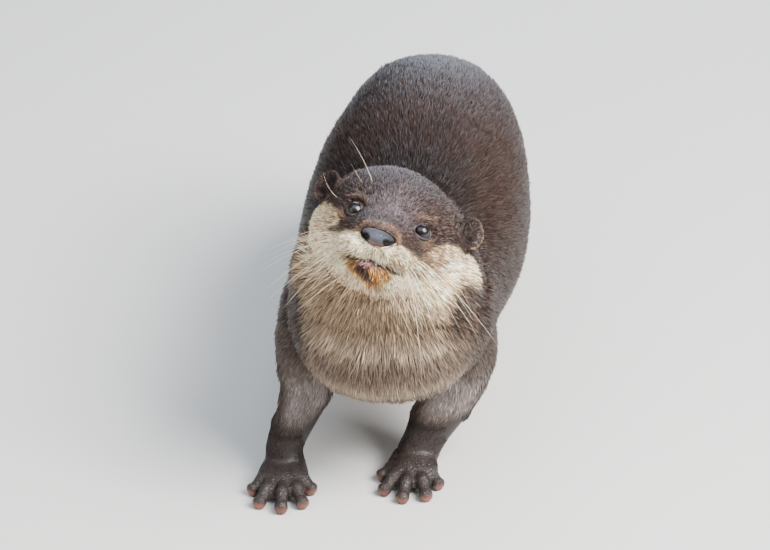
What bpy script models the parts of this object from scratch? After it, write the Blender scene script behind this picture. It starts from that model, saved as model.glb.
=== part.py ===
"""A small-clawed otter standing on four feet with its head raised, as a life-size museum model.

The whole animal is modelled as one body from lofts (a section carried along a path), fused and
smoothed, then parted with thin cuts into the parts that a person would name.  The eyes and the
nose pad are pieces of their own.  The animal faces -Y, its back is up +Z and its left side is +X.
Sizes are in millimetres out to the tips of the fur, and MM turns them into metres.  While it is
built, the animal's wrists are near Y = 0; at the end its origin becomes the middle of its box, on
the floor.
"""

import math
from collections import namedtuple

import bmesh
import bpy
import numpy as np
from mathutils import Matrix, Vector

MM = 0.001

# ---------------------------------------------------------------- driving dimensions
GAP = 0.3  # between pieces that touch
FUSE_VOXEL = 1.6
SMOOTH_TURNS = 8
FUSED_TRIANGLES = 224000  # about what the voxels give
BODY_TRIANGLES = 2900
ROUND_SIDES = 16  # of the balls that cut

NOSE = (-4.4, -60.0, 200.0)  # centre of the nose pad
HEAD_PITCH = 30.0  # muzzle above level, degrees
HEAD_YAW = 7.0  # muzzle turned to the animal's right
HEAD_ROLL = 15.0  # crown leaning to the animal's left
HEAD_HALF_WIDTH = 47.0  # at the cheeks, fur included
EYE_RADIUS = 5.2
EYE_PLACE = (-29.0, 19.2, 9.8)  # behind, beside and above the nose pad
EAR_PLACE = (-63.0, 43.0, 18.0)
EAR_RADIUS = 9.8
EAR_THICKNESS = 6.4
NOSE_PAD = (9.6, 6.0, 5.0)  # half width, half height and half depth

Station = namedtuple("Station", "x y z width above below")
HeadStation = namedtuple("HeadStation", "forward width top widest bottom")
Foot = namedtuple("Foot", "x y heading side")

# Chest to tail tip: centre of the widest line, half width, height above it and depth below it.
TRUNK = (
    Station(1, -43, 112, 4, 4, 4),
    Station(1, -41, 112, 19, 18, 19),
    Station(1, -34, 112, 35, 31, 34),
    Station(1, -20, 113, 49, 44, 47),
    Station(2, 4, 114, 59, 53, 53),
    Station(8, 44, 112, 63, 62, 51),
    Station(16, 88, 112, 68, 71, 50),
    Station(22, 130, 114, 67, 77, 50),
    Station(27, 170, 114, 61, 76, 48),
    Station(28, 204, 110, 55, 66, 44),
    Station(27, 233, 99, 43, 50, 38),
    Station(26, 259, 81, 31, 34, 30),
    Station(26, 284, 58, 24, 24, 23),
    Station(26, 312, 35, 20.5, 18, 18),
    Station(25, 346, 19, 18, 14, 16.5),
    Station(23, 388, 13.5, 15.5, 12, 15),
    Station(23, 430, 11.5, 13, 10.5, 13),
    Station(27, 470, 9.8, 10.5, 9, 11.2),
    Station(34, 506, 8, 7.5, 7, 9),
    Station(40, 528, 6.4, 4.5, 4.5, 6.8),
    Station(43, 537, 5.5, 2, 2, 3),
)

# Neck: from inside the head down into the chest.
NECK = (
    Station(2, -12, 168, 38, 38, 34),
    Station(3, -8, 154, 49, 46, 39),
    Station(2, 0, 140, 55, 52, 43),
    Station(1, 12, 124, 56, 54, 47),
    Station(1, 24, 112, 50, 48, 44),
)

# Head, from the muzzle back: half width, and the top, widest line and underside about the nose.
HEAD = (
    HeadStation(1.0, 5.0, 2.5, -2.0, -6.0),
    HeadStation(-1.5, 10.5, 6.0, -3.0, -10.0),
    HeadStation(-6.0, 17.0, 8.5, -5.0, -13.0),
    HeadStation(-13.0, 21.5, 11.5, -6.0, -15.0),
    HeadStation(-22.0, 25.5, 16.5, -5.0, -18.0),
    HeadStation(-31.0, 31.0, 23.0, -4.0, -23.0),
    HeadStation(-42.0, 38.0, 31.0, -4.0, -28.0),
    HeadStation(-54.0, 44.0, 37.5, -3.0, -32.0),
    HeadStation(-66.0, HEAD_HALF_WIDTH, 41.5, -2.0, -34.0),
    HeadStation(-80.0, 45.0, 42.0, 0.0, -34.0),
    HeadStation(-94.0, 38.0, 36.0, 0.0, -30.0),
    HeadStation(-104.0, 24.0, 24.0, 0.0, -20.0),
)

LOWER_JAW = (
    HeadStation(-4.5, 7.0, -11.5, -14.5, -18.0),
    HeadStation(-9.0, 13.5, -10.0, -16.0, -21.5),
    HeadStation(-20.0, 19.0, -8.0, -17.0, -26.5),
    HeadStation(-35.0, 26.0, -5.0, -18.0, -32.0),
    HeadStation(-52.0, 31.0, -5.0, -18.0, -34.0),
)

HIP_X = 25.0  # the hips stand to the left of the shoulders

# Each foot's ankle, the way it points (degrees towards the animal's left) and its side.
RIGHT_HAND = Foot(-59.0, 7.0, -4.0, -1)
LEFT_HAND = Foot(18.0, 17.0, -10.0, 1)
RIGHT_HIND = Foot(-20.0, 216.0, -6.0, -1)
LEFT_HIND = Foot(42.0, 226.0, 0.0, 1)

# Shoulder to wrist of each fore leg.
RIGHT_ARM = (
    Station(-30, 32, 132, 18, 24, 22),
    Station(-38, 27, 113, 21, 30, 26),
    Station(-44, 26, 92, 20, 27, 24),
    Station(-46, 30, 70, 19, 22, 20),
    Station(-46, 27, 52, 17.5, 17, 17),
    Station(-53, 17, 35, 12.5, 13, 13),
    Station(-59, 11, 20, 11, 10.5, 10.5),
    Station(-59, 6, 10, 12, 10, 10),
)
LEFT_ARM = (
    Station(30, 32, 132, 18, 24, 22),
    Station(38, 27, 113, 21, 30, 26),
    Station(45, 26, 92, 20.5, 27, 24),
    Station(46, 30, 70, 20, 22, 20),
    Station(41, 27, 52, 18, 17, 17),
    Station(32, 26, 35, 15.5, 14, 14),
    Station(24, 21, 20, 12.5, 11, 11),
    Station(19, 16, 10, 12.5, 10, 10),
)

# Slots that part the body: centre, direction across the slot, radius.
CUT_DISCS = (
    ((0, 0, 160), (0, -0.4, 0.92), 90),
    ((0, 10, 138), (0, -0.62, 0.79), 95),
    ((10, 84, 122), (0, 1, 0), 90),
    ((26, 252, 88), (0, 0.84, -0.54), 50),
    ((26, 330, 24), (0, 1, -0.3), 30),
    ((23, 430, 11), (0, 1, 0), 20),
    ((RIGHT_HAND.x, RIGHT_HAND.y + 4, 22), (0, 0.25, 1), 15),
    ((LEFT_HAND.x + 6, LEFT_HAND.y + 4, 22), (0, 0.25, 1), 18),
    ((RIGHT_HIND.x, RIGHT_HIND.y + 2, 26), (0, -0.4, 1), 24),
    ((LEFT_HIND.x, LEFT_HIND.y + 2, 26), (0, -0.4, 1), 24),
)

# Hollow ellipsoids that part the upper limbs from the trunk: centre and half sizes.
CUT_SHELLS = (
    ((-46, 28, 88), (31, 40, 46)),
    ((46, 28, 88), (30, 40, 46)),
    ((-16, 186, 92), (33, 48, 54)),
    ((60, 186, 92), (33, 48, 54)),
)

# Each part's name, with a place near its middle and its finish.
PARTS = {
    "head": ((2, -22, 186), "fur_brown"),
    "neck": ((0, -2, 144), "fur_pale"),
    "chest": ((4, 30, 109), "fur_brown"),
    "loins": ((24, 181, 119), "fur_brown"),
    "tail_root": ((26, 287, 61), "fur_brown"),
    "tail_middle": ((24, 373, 17), "fur_brown"),
    "tail_tip": ((29, 471, 9), "fur_brown"),
    "ear_right": ((-30, 12, 188), "fur_brown"),
    "ear_left": ((44, -7, 171), "fur_brown"),
    "upper_arm_right": ((-44, 27, 85), "fur_brown"),
    "upper_arm_left": ((42, 28, 86), "fur_brown"),
    "forearm_right": ((-50, 23, 41), "fur_brown"),
    "forearm_left": ((32, 26, 41), "fur_brown"),
    "forefoot_right": ((-60, -9, 8), "foot_skin"),
    "forefoot_left": ((15, 2, 9), "foot_skin"),
    "thigh_right": ((-15, 186, 89), "fur_brown"),
    "thigh_left": ((57, 187, 89), "fur_brown"),
    "shank_right": ((-22, 198, 40), "fur_brown"),
    "shank_left": ((50, 201, 40), "fur_brown"),
    "hindfoot_right": ((-23, 183, 9), "foot_skin"),
    "hindfoot_left": ((49, 192, 9), "foot_skin"),
}

FINISHES = {
    "fur_brown": ((0.075, 0.050, 0.040), 0.75),
    "fur_pale": ((0.42, 0.34, 0.25), 0.80),
    "foot_skin": ((0.11, 0.070, 0.055), 0.55),
    "nose_leather": ((0.10, 0.10, 0.12), 0.45),
    "eye": ((0.008, 0.005, 0.004), 0.08),
}

# Each toe, from the inner to the outer: angle of its fan, where it starts and its length.
HAND_TOES = ((-52, 10, 13), (-25, 14, 18), (-2, 16, 19), (22, 15, 18), (46, 11, 14))
HIND_TOES = ((-30, 33, 15), (-14, 38, 20), (0, 40, 22), (13, 38, 20), (28, 32, 16))
# Along a toe: share of its length, height of its middle and radius; the tip is a round bulb.
TOE_PROFILE = (
    (0.0, 8.0, 4.2),
    (0.35, 8.2, 4.3),
    (0.7, 5.2, 4.2),
    (0.92, 3.5, 4.4),
    (1.06, 3.2, 3.4),
    (1.12, 3.0, 1.4),
)

# Palm and sole: distance before the ankle, height of the middle, half width, above and below.
PALM = ((-8, 9, 7, 7, 7), (-2, 9, 12, 9, 9.5), (8, 8, 15, 8.5, 9), (17, 7, 15.5, 7, 8), (23, 6.5, 10, 4, 5))
SOLE = (
    (-12, 11, 6, 7, 7),
    (-5, 11, 11, 11, 12),
    (10, 9, 12.5, 10, 10.5),
    (28, 7.5, 15, 8, 9),
    (42, 6.8, 16, 7, 8),
    (50, 6.4, 10, 4, 5),
)


# ---------------------------------------------------------------- shapes
def smooth_path(rows, per_span):
    """Rows of numbers made denser by a Catmull-Rom curve through them."""
    rows = np.array(rows, float)
    padded = np.vstack([2 * rows[0] - rows[1], rows, 2 * rows[-1] - rows[-2]])
    out = []
    for i in range(1, len(padded) - 2):
        a, b, c, d = padded[i - 1 : i + 3]
        for t in np.arange(per_span) / per_span:
            out.append(
                0.5 * (2 * b + (c - a) * t + (2 * a - 5 * b + 4 * c - d) * t**2
                       + (3 * b - a - 3 * c + d) * t**3)
            )
    out.append(padded[-2])
    return np.array(out)


def ring(centre, side, up, width, above, below, power, count):
    """One section: half a superellipse above the widest line and half below it."""
    points = []
    for k in range(count):
        turn = 2 * math.pi * k / count
        c, s = math.cos(turn), math.sin(turn)
        across = math.copysign(abs(c) ** (2 / power), c) * width
        rise = math.copysign(abs(s) ** (2 / power), s) * (above if s > 0 else below)
        points.append(centre + side * across + up * rise)
    return points


def skin_rings(rings):
    """A closed mesh through rings of equal count, with a fan at each end."""
    mesh = bmesh.new()
    loops = [[mesh.verts.new(Vector(p) * MM) for p in points] for points in rings]
    for first, second in zip(loops, loops[1:]):
        for k in range(len(first)):
            j = (k + 1) % len(first)
            mesh.faces.new((first[k], first[j], second[j], second[k]))
    for loop in (loops[0], loops[-1]):
        middle = mesh.verts.new(sum((v.co for v in loop), Vector()) / len(loop))
        for k in range(len(loop)):
            mesh.faces.new((loop[k], loop[(k + 1) % len(loop)], middle))
    bmesh.ops.recalc_face_normals(mesh, faces=mesh.faces)
    return mesh


def body_loft(stations, reference=(0, 0, 1), power=2.2, count=40, per_span=6):
    """A tube along the stations' centres; reference is the way that above points."""
    rows = smooth_path(stations, per_span)
    tangents = np.gradient(rows[:, :3], axis=0)
    rings = []
    for row, tangent in zip(rows, tangents):
        along = Vector(tangent).normalized()
        side = along.cross(Vector(reference)).normalized()
        up = side.cross(along)
        rings.append(ring(Vector(row[:3]), side, up, row[3], row[4], row[5], power, count))
    return skin_rings(rings)


def head_axes():
    """The head's forward, left and up directions."""
    turn = Matrix.Rotation(math.radians(-HEAD_YAW), 3, "Z")
    nod = Matrix.Rotation(math.radians(-HEAD_PITCH), 3, "X")
    lean = Matrix.Rotation(math.radians(HEAD_ROLL), 3, "Y")
    return [turn @ nod @ lean @ Vector(v) for v in ((0, -1, 0), (1, 0, 0), (0, 0, 1))]


FORWARD, LEFT, UP = head_axes()


def head_point(forward, side, up):
    """A place in the head's own frame, in the animal's frame."""
    return Vector(NOSE) + FORWARD * forward + LEFT * side + UP * up


def head_loft(stations, power=2.15, count=40, per_span=5):
    """A loft along the head's axis, whose sections stand square to it."""
    rings = []
    for forward, width, top, widest, bottom in smooth_path(stations, per_span):
        centre = head_point(forward, 0, widest)
        rings.append(ring(centre, LEFT, UP, width, top - widest, widest - bottom, power, count))
    return skin_rings(rings)


def ellipsoid(centre, axes, radii, segments=ROUND_SIDES):
    """A closed ellipsoid on three given directions."""
    mesh = bmesh.new()
    bmesh.ops.create_uvsphere(mesh, u_segments=segments, v_segments=segments // 2, radius=1)
    for v in mesh.verts:
        local = v.co.copy()
        v.co = Vector(centre) * MM
        for axis, radius, amount in zip(axes, radii, local):
            v.co += Vector(axis) * radius * amount * MM
    bmesh.ops.recalc_face_normals(mesh, faces=mesh.faces)
    return mesh


WORLD_AXES = ((1, 0, 0), (0, 1, 0), (0, 0, 1))


def foot_frame(foot):
    """The foot's forward and left directions, flat on the floor."""
    turn = math.radians(foot.heading)
    return Vector((math.sin(turn), -math.cos(turn), 0)), Vector((math.cos(turn), math.sin(turn), 0))


def toes(foot, table, fan):
    """Five toes that fan from a point before the ankle, each a round tube that droops to the floor."""
    forward, left = foot_frame(foot)
    meshes = []
    for angle, start, length in table:
        turn = math.radians(angle * foot.side)
        way = forward * math.cos(turn) + left * math.sin(turn)
        root = Vector((foot.x, foot.y, 0)) + forward * fan + way * start
        rows = []
        for share, height, radius in TOE_PROFILE:
            p = root + way * (length * share)
            rows.append(Station(p.x, p.y, height, radius, radius, radius))
        meshes.append(body_loft(rows, count=16, per_span=3, power=2.0))
    return meshes


def foot_pad(foot, table):
    """The palm or the sole, a low loft along the foot."""
    forward, _ = foot_frame(foot)
    rows = []
    for distance, height, width, above, below in table:
        p = Vector((foot.x, foot.y, 0)) + forward * distance
        rows.append(Station(p.x, p.y, height, width, above, below))
    return body_loft(rows, count=28)


def fore_leg(foot, arm):
    """Shoulder, arm, wrist, palm and toes of one fore limb."""
    return [body_loft(arm, (0, -1, 0)), foot_pad(foot, PALM)] + toes(foot, HAND_TOES, 4.2)


def hind_leg(foot):
    """Thigh, shank, heel, sole and toes of one hind limb."""
    s = foot.side
    thigh = (
        Station(HIP_X + s * 27, 192, 126, 24, 32, 34),
        Station(HIP_X + s * 36, 184, 106, 26, 40, 38),
        Station(HIP_X + s * 38, 176, 84, 23, 32, 32),
        Station(HIP_X * 0.6 + s * 32 + foot.x * 0.2, 180, 62, 18, 22, 24),
        Station(foot.x * 0.7 + s * 12 + 4, 204, 42, 13.5, 15, 15),
        Station(foot.x, foot.y + 2, 24, 11.5, 12, 12),
        Station(foot.x, foot.y - 4, 12, 12, 11, 11),
    )
    return [body_loft(thigh, (0, -1, 0)), foot_pad(foot, SOLE)] + toes(foot, HIND_TOES, 8.4)


def ear(side):
    """A low round ear: a thick dish on the side of the head."""
    behind, beside, above = EAR_PLACE
    outward = (LEFT * side * 0.7 + FORWARD * 0.6 + UP * 0.25).normalized()
    across = outward.cross(UP).normalized()
    tall = across.cross(outward)
    centre = head_point(behind, side * beside, above)
    return ellipsoid(centre, (across, tall, outward), (EAR_RADIUS, EAR_RADIUS, EAR_THICKNESS / 2))


def nose_pad(grow):
    """The bare pad at the tip of the muzzle, a broad low cushion; grow makes its seat."""
    radii = (NOSE_PAD[0] + grow, NOSE_PAD[1] + grow, NOSE_PAD[2] + grow)
    return ellipsoid(head_point(-1.5, 0, 0), (LEFT, UP, FORWARD), radii)


def eyeball(side, grow):
    """A ball set in the head; grow makes its socket."""
    behind, beside, above = EYE_PLACE
    centre = head_point(behind, side * beside, above)
    return ellipsoid(centre, (LEFT, UP, FORWARD), (EYE_RADIUS + grow,) * 3, 16)


def merged(meshes):
    """Several bmeshes in one."""
    whole = bmesh.new()
    for mesh in meshes:
        data = bpy.data.meshes.new("merged")
        mesh.to_mesh(data)
        mesh.free()
        whole.from_mesh(data)
        bpy.data.meshes.remove(data)
    return whole


# ---------------------------------------------------------------- cutters
def slot_disc(centre, normal, radius):
    """A disc as thin as the gap between two parts."""
    mesh = bmesh.new()
    turn = Vector(normal).to_track_quat("Z", "Y").to_matrix().to_4x4()
    size = {"segments": 48, "radius1": radius * MM, "radius2": radius * MM, "depth": GAP * MM}
    place = Matrix.Translation(Vector(centre) * MM) @ turn
    bmesh.ops.create_cone(mesh, cap_ends=True, matrix=place, **size)
    return mesh


def slot_shell(centre, radii):
    """A hollow ellipsoid whose wall is as thin as the gap; it parts a limb from the trunk."""
    outer = ellipsoid(centre, WORLD_AXES, [r + GAP / 2 for r in radii])
    inner = ellipsoid(centre, WORLD_AXES, [r - GAP / 2 for r in radii])
    bmesh.ops.reverse_faces(inner, faces=inner.faces)
    return merged([outer, inner])


def object_from(mesh, name, collection):
    """A bmesh as a linked object."""
    data = bpy.data.meshes.new(name)
    mesh.to_mesh(data)
    mesh.free()
    obj = bpy.data.objects.new(name, data)
    collection.objects.link(obj)
    return obj


def joined(meshes, name, collection):
    """Several bmeshes in one object."""
    return object_from(merged(meshes), name, collection)


def apply_modifiers(obj):
    """Replace an object's mesh with the one its modifiers give."""
    graph = bpy.context.evaluated_depsgraph_get()
    done = bpy.data.meshes.new_from_object(obj.evaluated_get(graph))
    obj.modifiers.clear()
    obj.data = done


def fused_body(collection):
    """The lofts melted into one smooth body of few triangles."""
    lofts = [body_loft(TRUNK), body_loft(NECK, (0, 0.8, 0.6)), head_loft(HEAD), head_loft(LOWER_JAW)]
    for foot, arm in ((RIGHT_HAND, RIGHT_ARM), (LEFT_HAND, LEFT_ARM)):
        lofts += fore_leg(foot, arm)
    for foot in (RIGHT_HIND, LEFT_HIND):
        lofts += hind_leg(foot)
    lofts += [ear(-1), ear(1)]
    body = joined(lofts, "body", collection)
    remesh = body.modifiers.new("fuse", "REMESH")
    remesh.mode = "VOXEL"
    remesh.voxel_size = FUSE_VOXEL * MM
    smooth = body.modifiers.new("soften", "SMOOTH")
    smooth.factor = 0.5
    smooth.iterations = SMOOTH_TURNS
    fewer = body.modifiers.new("fewer", "DECIMATE")
    fewer.ratio = BODY_TRIANGLES / FUSED_TRIANGLES
    apply_modifiers(body)
    return body


def cutters():
    """Every cut, by kind: seats of the loose pieces, then the slots between the parts."""
    seats = [nose_pad(GAP), eyeball(-1, GAP), eyeball(1, GAP)]
    slots = [slot_disc(centre, normal, radius) for centre, normal, radius in CUT_DISCS]
    slots += [slot_shell(centre, radii) for centre, radii in CUT_SHELLS]
    behind, beside, above = EAR_PLACE
    for side in (-1, 1):
        slots.append(slot_shell(head_point(behind, side * beside, above), (EAR_RADIUS + 1.5,) * 3))
    return seats, slots


def cut(obj, meshes, name, collection):
    """Take closed cutters away from an object."""
    cutter = joined(meshes, name, collection)
    cutter.hide_render = True
    cutter.display_type = "WIRE"
    tool = obj.modifiers.new(name, "BOOLEAN")
    tool.operation = "DIFFERENCE"
    tool.solver = "EXACT"
    tool.object = cutter
    apply_modifiers(obj)


def below_floor():
    """The slab whose top is the floor, which gives soles and tail their small flats."""
    mesh = bmesh.new()
    size = Matrix.Diagonal((0.6, 1.4, 0.1, 1))
    bmesh.ops.create_cube(mesh, size=1.0, matrix=Matrix.Translation((0, 0.25, -0.05)) @ size)
    return mesh


def islands(obj):
    """The object's separate bodies, each as a bmesh."""
    whole = bmesh.new()
    whole.from_mesh(obj.data)
    left = set(whole.verts)
    groups = []
    while left:
        start = left.pop()
        group = {start}
        edge = [start]
        while edge:
            vertex = edge.pop()
            for link in vertex.link_edges:
                other = link.other_vert(vertex)
                if other not in group:
                    group.add(other)
                    edge.append(other)
        left -= group
        groups.append(group)
    pieces = []
    for group in groups:
        piece = whole.copy()
        piece.verts.ensure_lookup_table()
        keep = {v.index for v in group}
        bmesh.ops.delete(piece, geom=[v for v in piece.verts if v.index not in keep], context="VERTS")
        pieces.append(piece)
    whole.free()
    return pieces


def centre_of(mesh):
    """The mean of a bmesh's vertices, in millimetres."""
    return sum((v.co for v in mesh.verts), Vector()) / len(mesh.verts) / MM


def shift_to_base(objects):
    """Move every mesh so that the origin is the middle of the animal's box, on the floor."""
    corners = np.array([v.co for obj in objects for v in obj.data.vertices])
    low, high = corners.min(axis=0), corners.max(axis=0)
    move = Matrix.Translation((-(low[0] + high[0]) / 2, -(low[1] + high[1]) / 2, -low[2]))
    for obj in objects:
        obj.data.transform(move)


def finish_material(name):
    """A plain Principled material of one of the animal's finishes."""
    colour, roughness = FINISHES[name]
    material = bpy.data.materials.new(name)
    material.use_nodes = True
    shader = material.node_tree.nodes["Principled BSDF"]
    shader.inputs["Base Color"].default_value = (*colour, 1)
    shader.inputs["Roughness"].default_value = roughness
    shader.inputs["Metallic"].default_value = 0.0
    return material


def main():
    """Build the whole animal, part it and name its parts."""
    for obj in list(bpy.data.objects):
        bpy.data.objects.remove(obj)
    otter = bpy.data.collections.new("otter")
    tools = bpy.data.collections.new("cutters")
    for collection in (otter, tools):
        bpy.context.scene.collection.children.link(collection)

    body = fused_body(otter)
    seats, slots = cutters()
    cut(body, seats, "seats", tools)
    cut(body, slots, "slots", tools)
    cut(body, [below_floor()], "below_floor", tools)

    materials = {name: finish_material(name) for name in FINISHES}
    parts = []
    for piece in islands(body):
        middle = centre_of(piece)
        name = min(PARTS, key=lambda key: (Vector(PARTS[key][0]) - middle).length)
        parts.append(object_from(piece, name, otter))
        parts[-1].data.materials.append(materials[PARTS[name][1]])
    assert {part.name for part in parts} == set(PARTS), "a cut does not go right through"
    bpy.data.objects.remove(body)
    for name, mesh, finish in (
        ("eye_right", eyeball(-1, 0), "eye"),
        ("eye_left", eyeball(1, 0), "eye"),
        ("nose_pad", nose_pad(0), "nose_leather"),
    ):
        parts.append(object_from(mesh, name, otter))
        parts[-1].data.materials.append(materials[finish])

    shift_to_base(parts)
    root = bpy.data.objects.new("otter_root", None)
    otter.objects.link(root)
    for part in parts:
        part.parent = root
        part.data.shade_smooth()
        part.data.set_sharp_from_angle(angle=math.radians(50))


main()
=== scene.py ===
"""A life-size small-clawed otter: skin, coat, eyes, nose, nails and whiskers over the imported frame.

Lengths are in millimetres in the animal's own frame until place() turns them into metres in the
shared frame: the otter faces -Y, its back is +Z and its left side is +X, with its wrists near
Y = 0.  The skin is made from lofts (a section carried along a path) melted together by voxels,
sunk by the depth of the coat, and covered with small closed tufts that lie along the body.

The head has a frame of its own, from the middle of the nose pad: forward, left and up, written f,
s and u below.  The numbers inside ramp() and bell() are places in one of these two frames.
"""

from __future__ import annotations

import logging
import math
from dataclasses import dataclass, field
from enum import Enum
from functools import cache, cached_property

import bpy
import numpy as np
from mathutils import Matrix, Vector


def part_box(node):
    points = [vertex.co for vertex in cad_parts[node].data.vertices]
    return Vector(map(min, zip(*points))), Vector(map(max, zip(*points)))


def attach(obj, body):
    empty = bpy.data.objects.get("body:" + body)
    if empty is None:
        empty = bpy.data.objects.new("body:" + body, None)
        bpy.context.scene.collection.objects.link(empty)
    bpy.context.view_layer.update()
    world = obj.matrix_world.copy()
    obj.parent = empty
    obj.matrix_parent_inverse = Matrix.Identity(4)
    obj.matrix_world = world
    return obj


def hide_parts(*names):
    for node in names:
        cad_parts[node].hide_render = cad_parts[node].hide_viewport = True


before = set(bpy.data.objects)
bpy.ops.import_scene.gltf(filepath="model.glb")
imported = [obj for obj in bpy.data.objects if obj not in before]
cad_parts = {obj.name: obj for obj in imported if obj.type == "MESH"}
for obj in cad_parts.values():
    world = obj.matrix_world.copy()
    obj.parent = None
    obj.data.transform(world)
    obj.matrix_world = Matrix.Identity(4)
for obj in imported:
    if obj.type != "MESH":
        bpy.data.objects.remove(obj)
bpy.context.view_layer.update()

LOG = logging.getLogger("otter")
MM = 0.001
Array = np.ndarray
Socket = bpy.types.NodeSocket
Triple = tuple[float, float, float]
Rows = tuple[tuple[float, ...], ...]
UP = np.array([0.0, 0.0, 1.0])

FLESH_NODES = (
    "head", "neck", "chest", "loins", "tail_root", "tail_middle", "tail_tip",
    "ear_right", "ear_left", "upper_arm_right", "upper_arm_left", "forearm_right", "forearm_left",
    "forefoot_right", "forefoot_left", "thigh_right", "thigh_left", "shank_right", "shank_left",
    "hindfoot_right", "hindfoot_left",
)


# ------------------------------------------------------------------ numbers in whole arrays
def unit(vectors: Array) -> Array:
    """Vectors divided by their length."""
    return vectors / np.maximum(np.linalg.norm(vectors, axis=-1, keepdims=True), 1e-9)


def ramp(low: float | Array, high: float | Array, value: Array) -> Array:
    """Rise from 0 at low to 1 at high with no corner: t * t * (3 - 2 t).

    Args:
        low: Where the rise begins.
        high: Where it ends; it may be below low for a fall.
        value: Numbers to map.

    Returns:
        Numbers from 0 to 1.
    """
    t = np.clip((value - low) / (high - low), 0.0, 1.0)
    return t * t * (3.0 - 2.0 * t)


def bell(centre: float, width: float | Array, value: Array) -> Array:
    """A bump of height one: exp(-((value - centre) / width) squared)."""
    return np.exp(-(((value - centre) / width) ** 2))


def blend(first: Array, second: Array | float, share: Array) -> Array:
    """first where share is 0 and second where it is 1."""
    return first + (second - first) * share


def mixed(first: Array, second: Array, share: Array) -> Array:
    """Rows blended by one share for each row."""
    return blend(first, second, share[:, None])


def layered(base: Array, layers: tuple[tuple[Array, Array], ...]) -> Array:
    """Rows with others laid over them in turn.

    Args:
        base: The rows below, or one row.
        layers: Pairs of rows (or one row) and the share that each of their rows covers.

    Returns:
        The rows seen from above.
    """
    for tone, share in layers:
        base = mixed(base, tone, share)
    return base


def polar(local: Array) -> tuple[Array, Array]:
    """Distance from the third axis, and the angle round it."""
    return np.hypot(local[:, 0], local[:, 1]), np.arctan2(local[:, 1], local[:, 0])


def full_turn(count: int) -> Array:
    """Angles that divide a full turn evenly."""
    return 2 * np.pi * np.arange(count) / count


def spline(rows: Array | Rows, per_span: int) -> Array:
    """Rows made denser by a Catmull-Rom curve through them.

    Between rows b and c, with a before and d after, the point at t is half of
    2b + (c - a) t + (2a - 5b + 4c - d) t^2 + (3b - a - 3c + d) t^3.

    Args:
        rows: Control rows.
        per_span: Points for each span.

    Returns:
        The dense rows, ending on the last control row.
    """
    rows = np.asarray(rows, float)
    padded = np.vstack([2 * rows[0] - rows[1], rows, 2 * rows[-1] - rows[-2]])
    a, b, c, d = (padded[i : len(padded) - 3 + i][:, None, :] for i in range(4))
    t = (np.arange(per_span) / per_span)[None, :, None]
    dense = 0.5 * (2 * b + (c - a) * t + (2 * a - 5 * b + 4 * c - d) * t**2
                   + (3 * b - a - 3 * c + d) * t**3)
    return np.vstack([dense.reshape(-1, rows.shape[1]), rows[-1]])


def value_noise(points: Array, size: float, seed: int) -> Array:
    """Smooth noise: hashed numbers at the corners of cubes, mixed by a ramp inside them.

    Args:
        points: Places, in millimetres.
        size: Edge of a cube.
        seed: Which noise.

    Returns:
        Numbers from -1 to 1, one for each place.
    """
    cell = points / size
    base = np.floor(cell).astype(np.int64)
    t = ramp(0, 1, cell - base)
    total = np.zeros(len(points))
    for corner in range(8):
        step = np.array([corner & 1, (corner >> 1) & 1, (corner >> 2) & 1])
        key = (base + step) @ np.array([73856093, 19349663, 83492791]) + seed * 2654435761
        key = (key ^ (key >> 13)) * 1274126177
        number = ((key ^ (key >> 16)) & 0xFFFF) / 32767.5 - 1.0
        total += number * np.prod(np.where(step == 1, t, 1.0 - t), axis=1)
    return total


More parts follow.
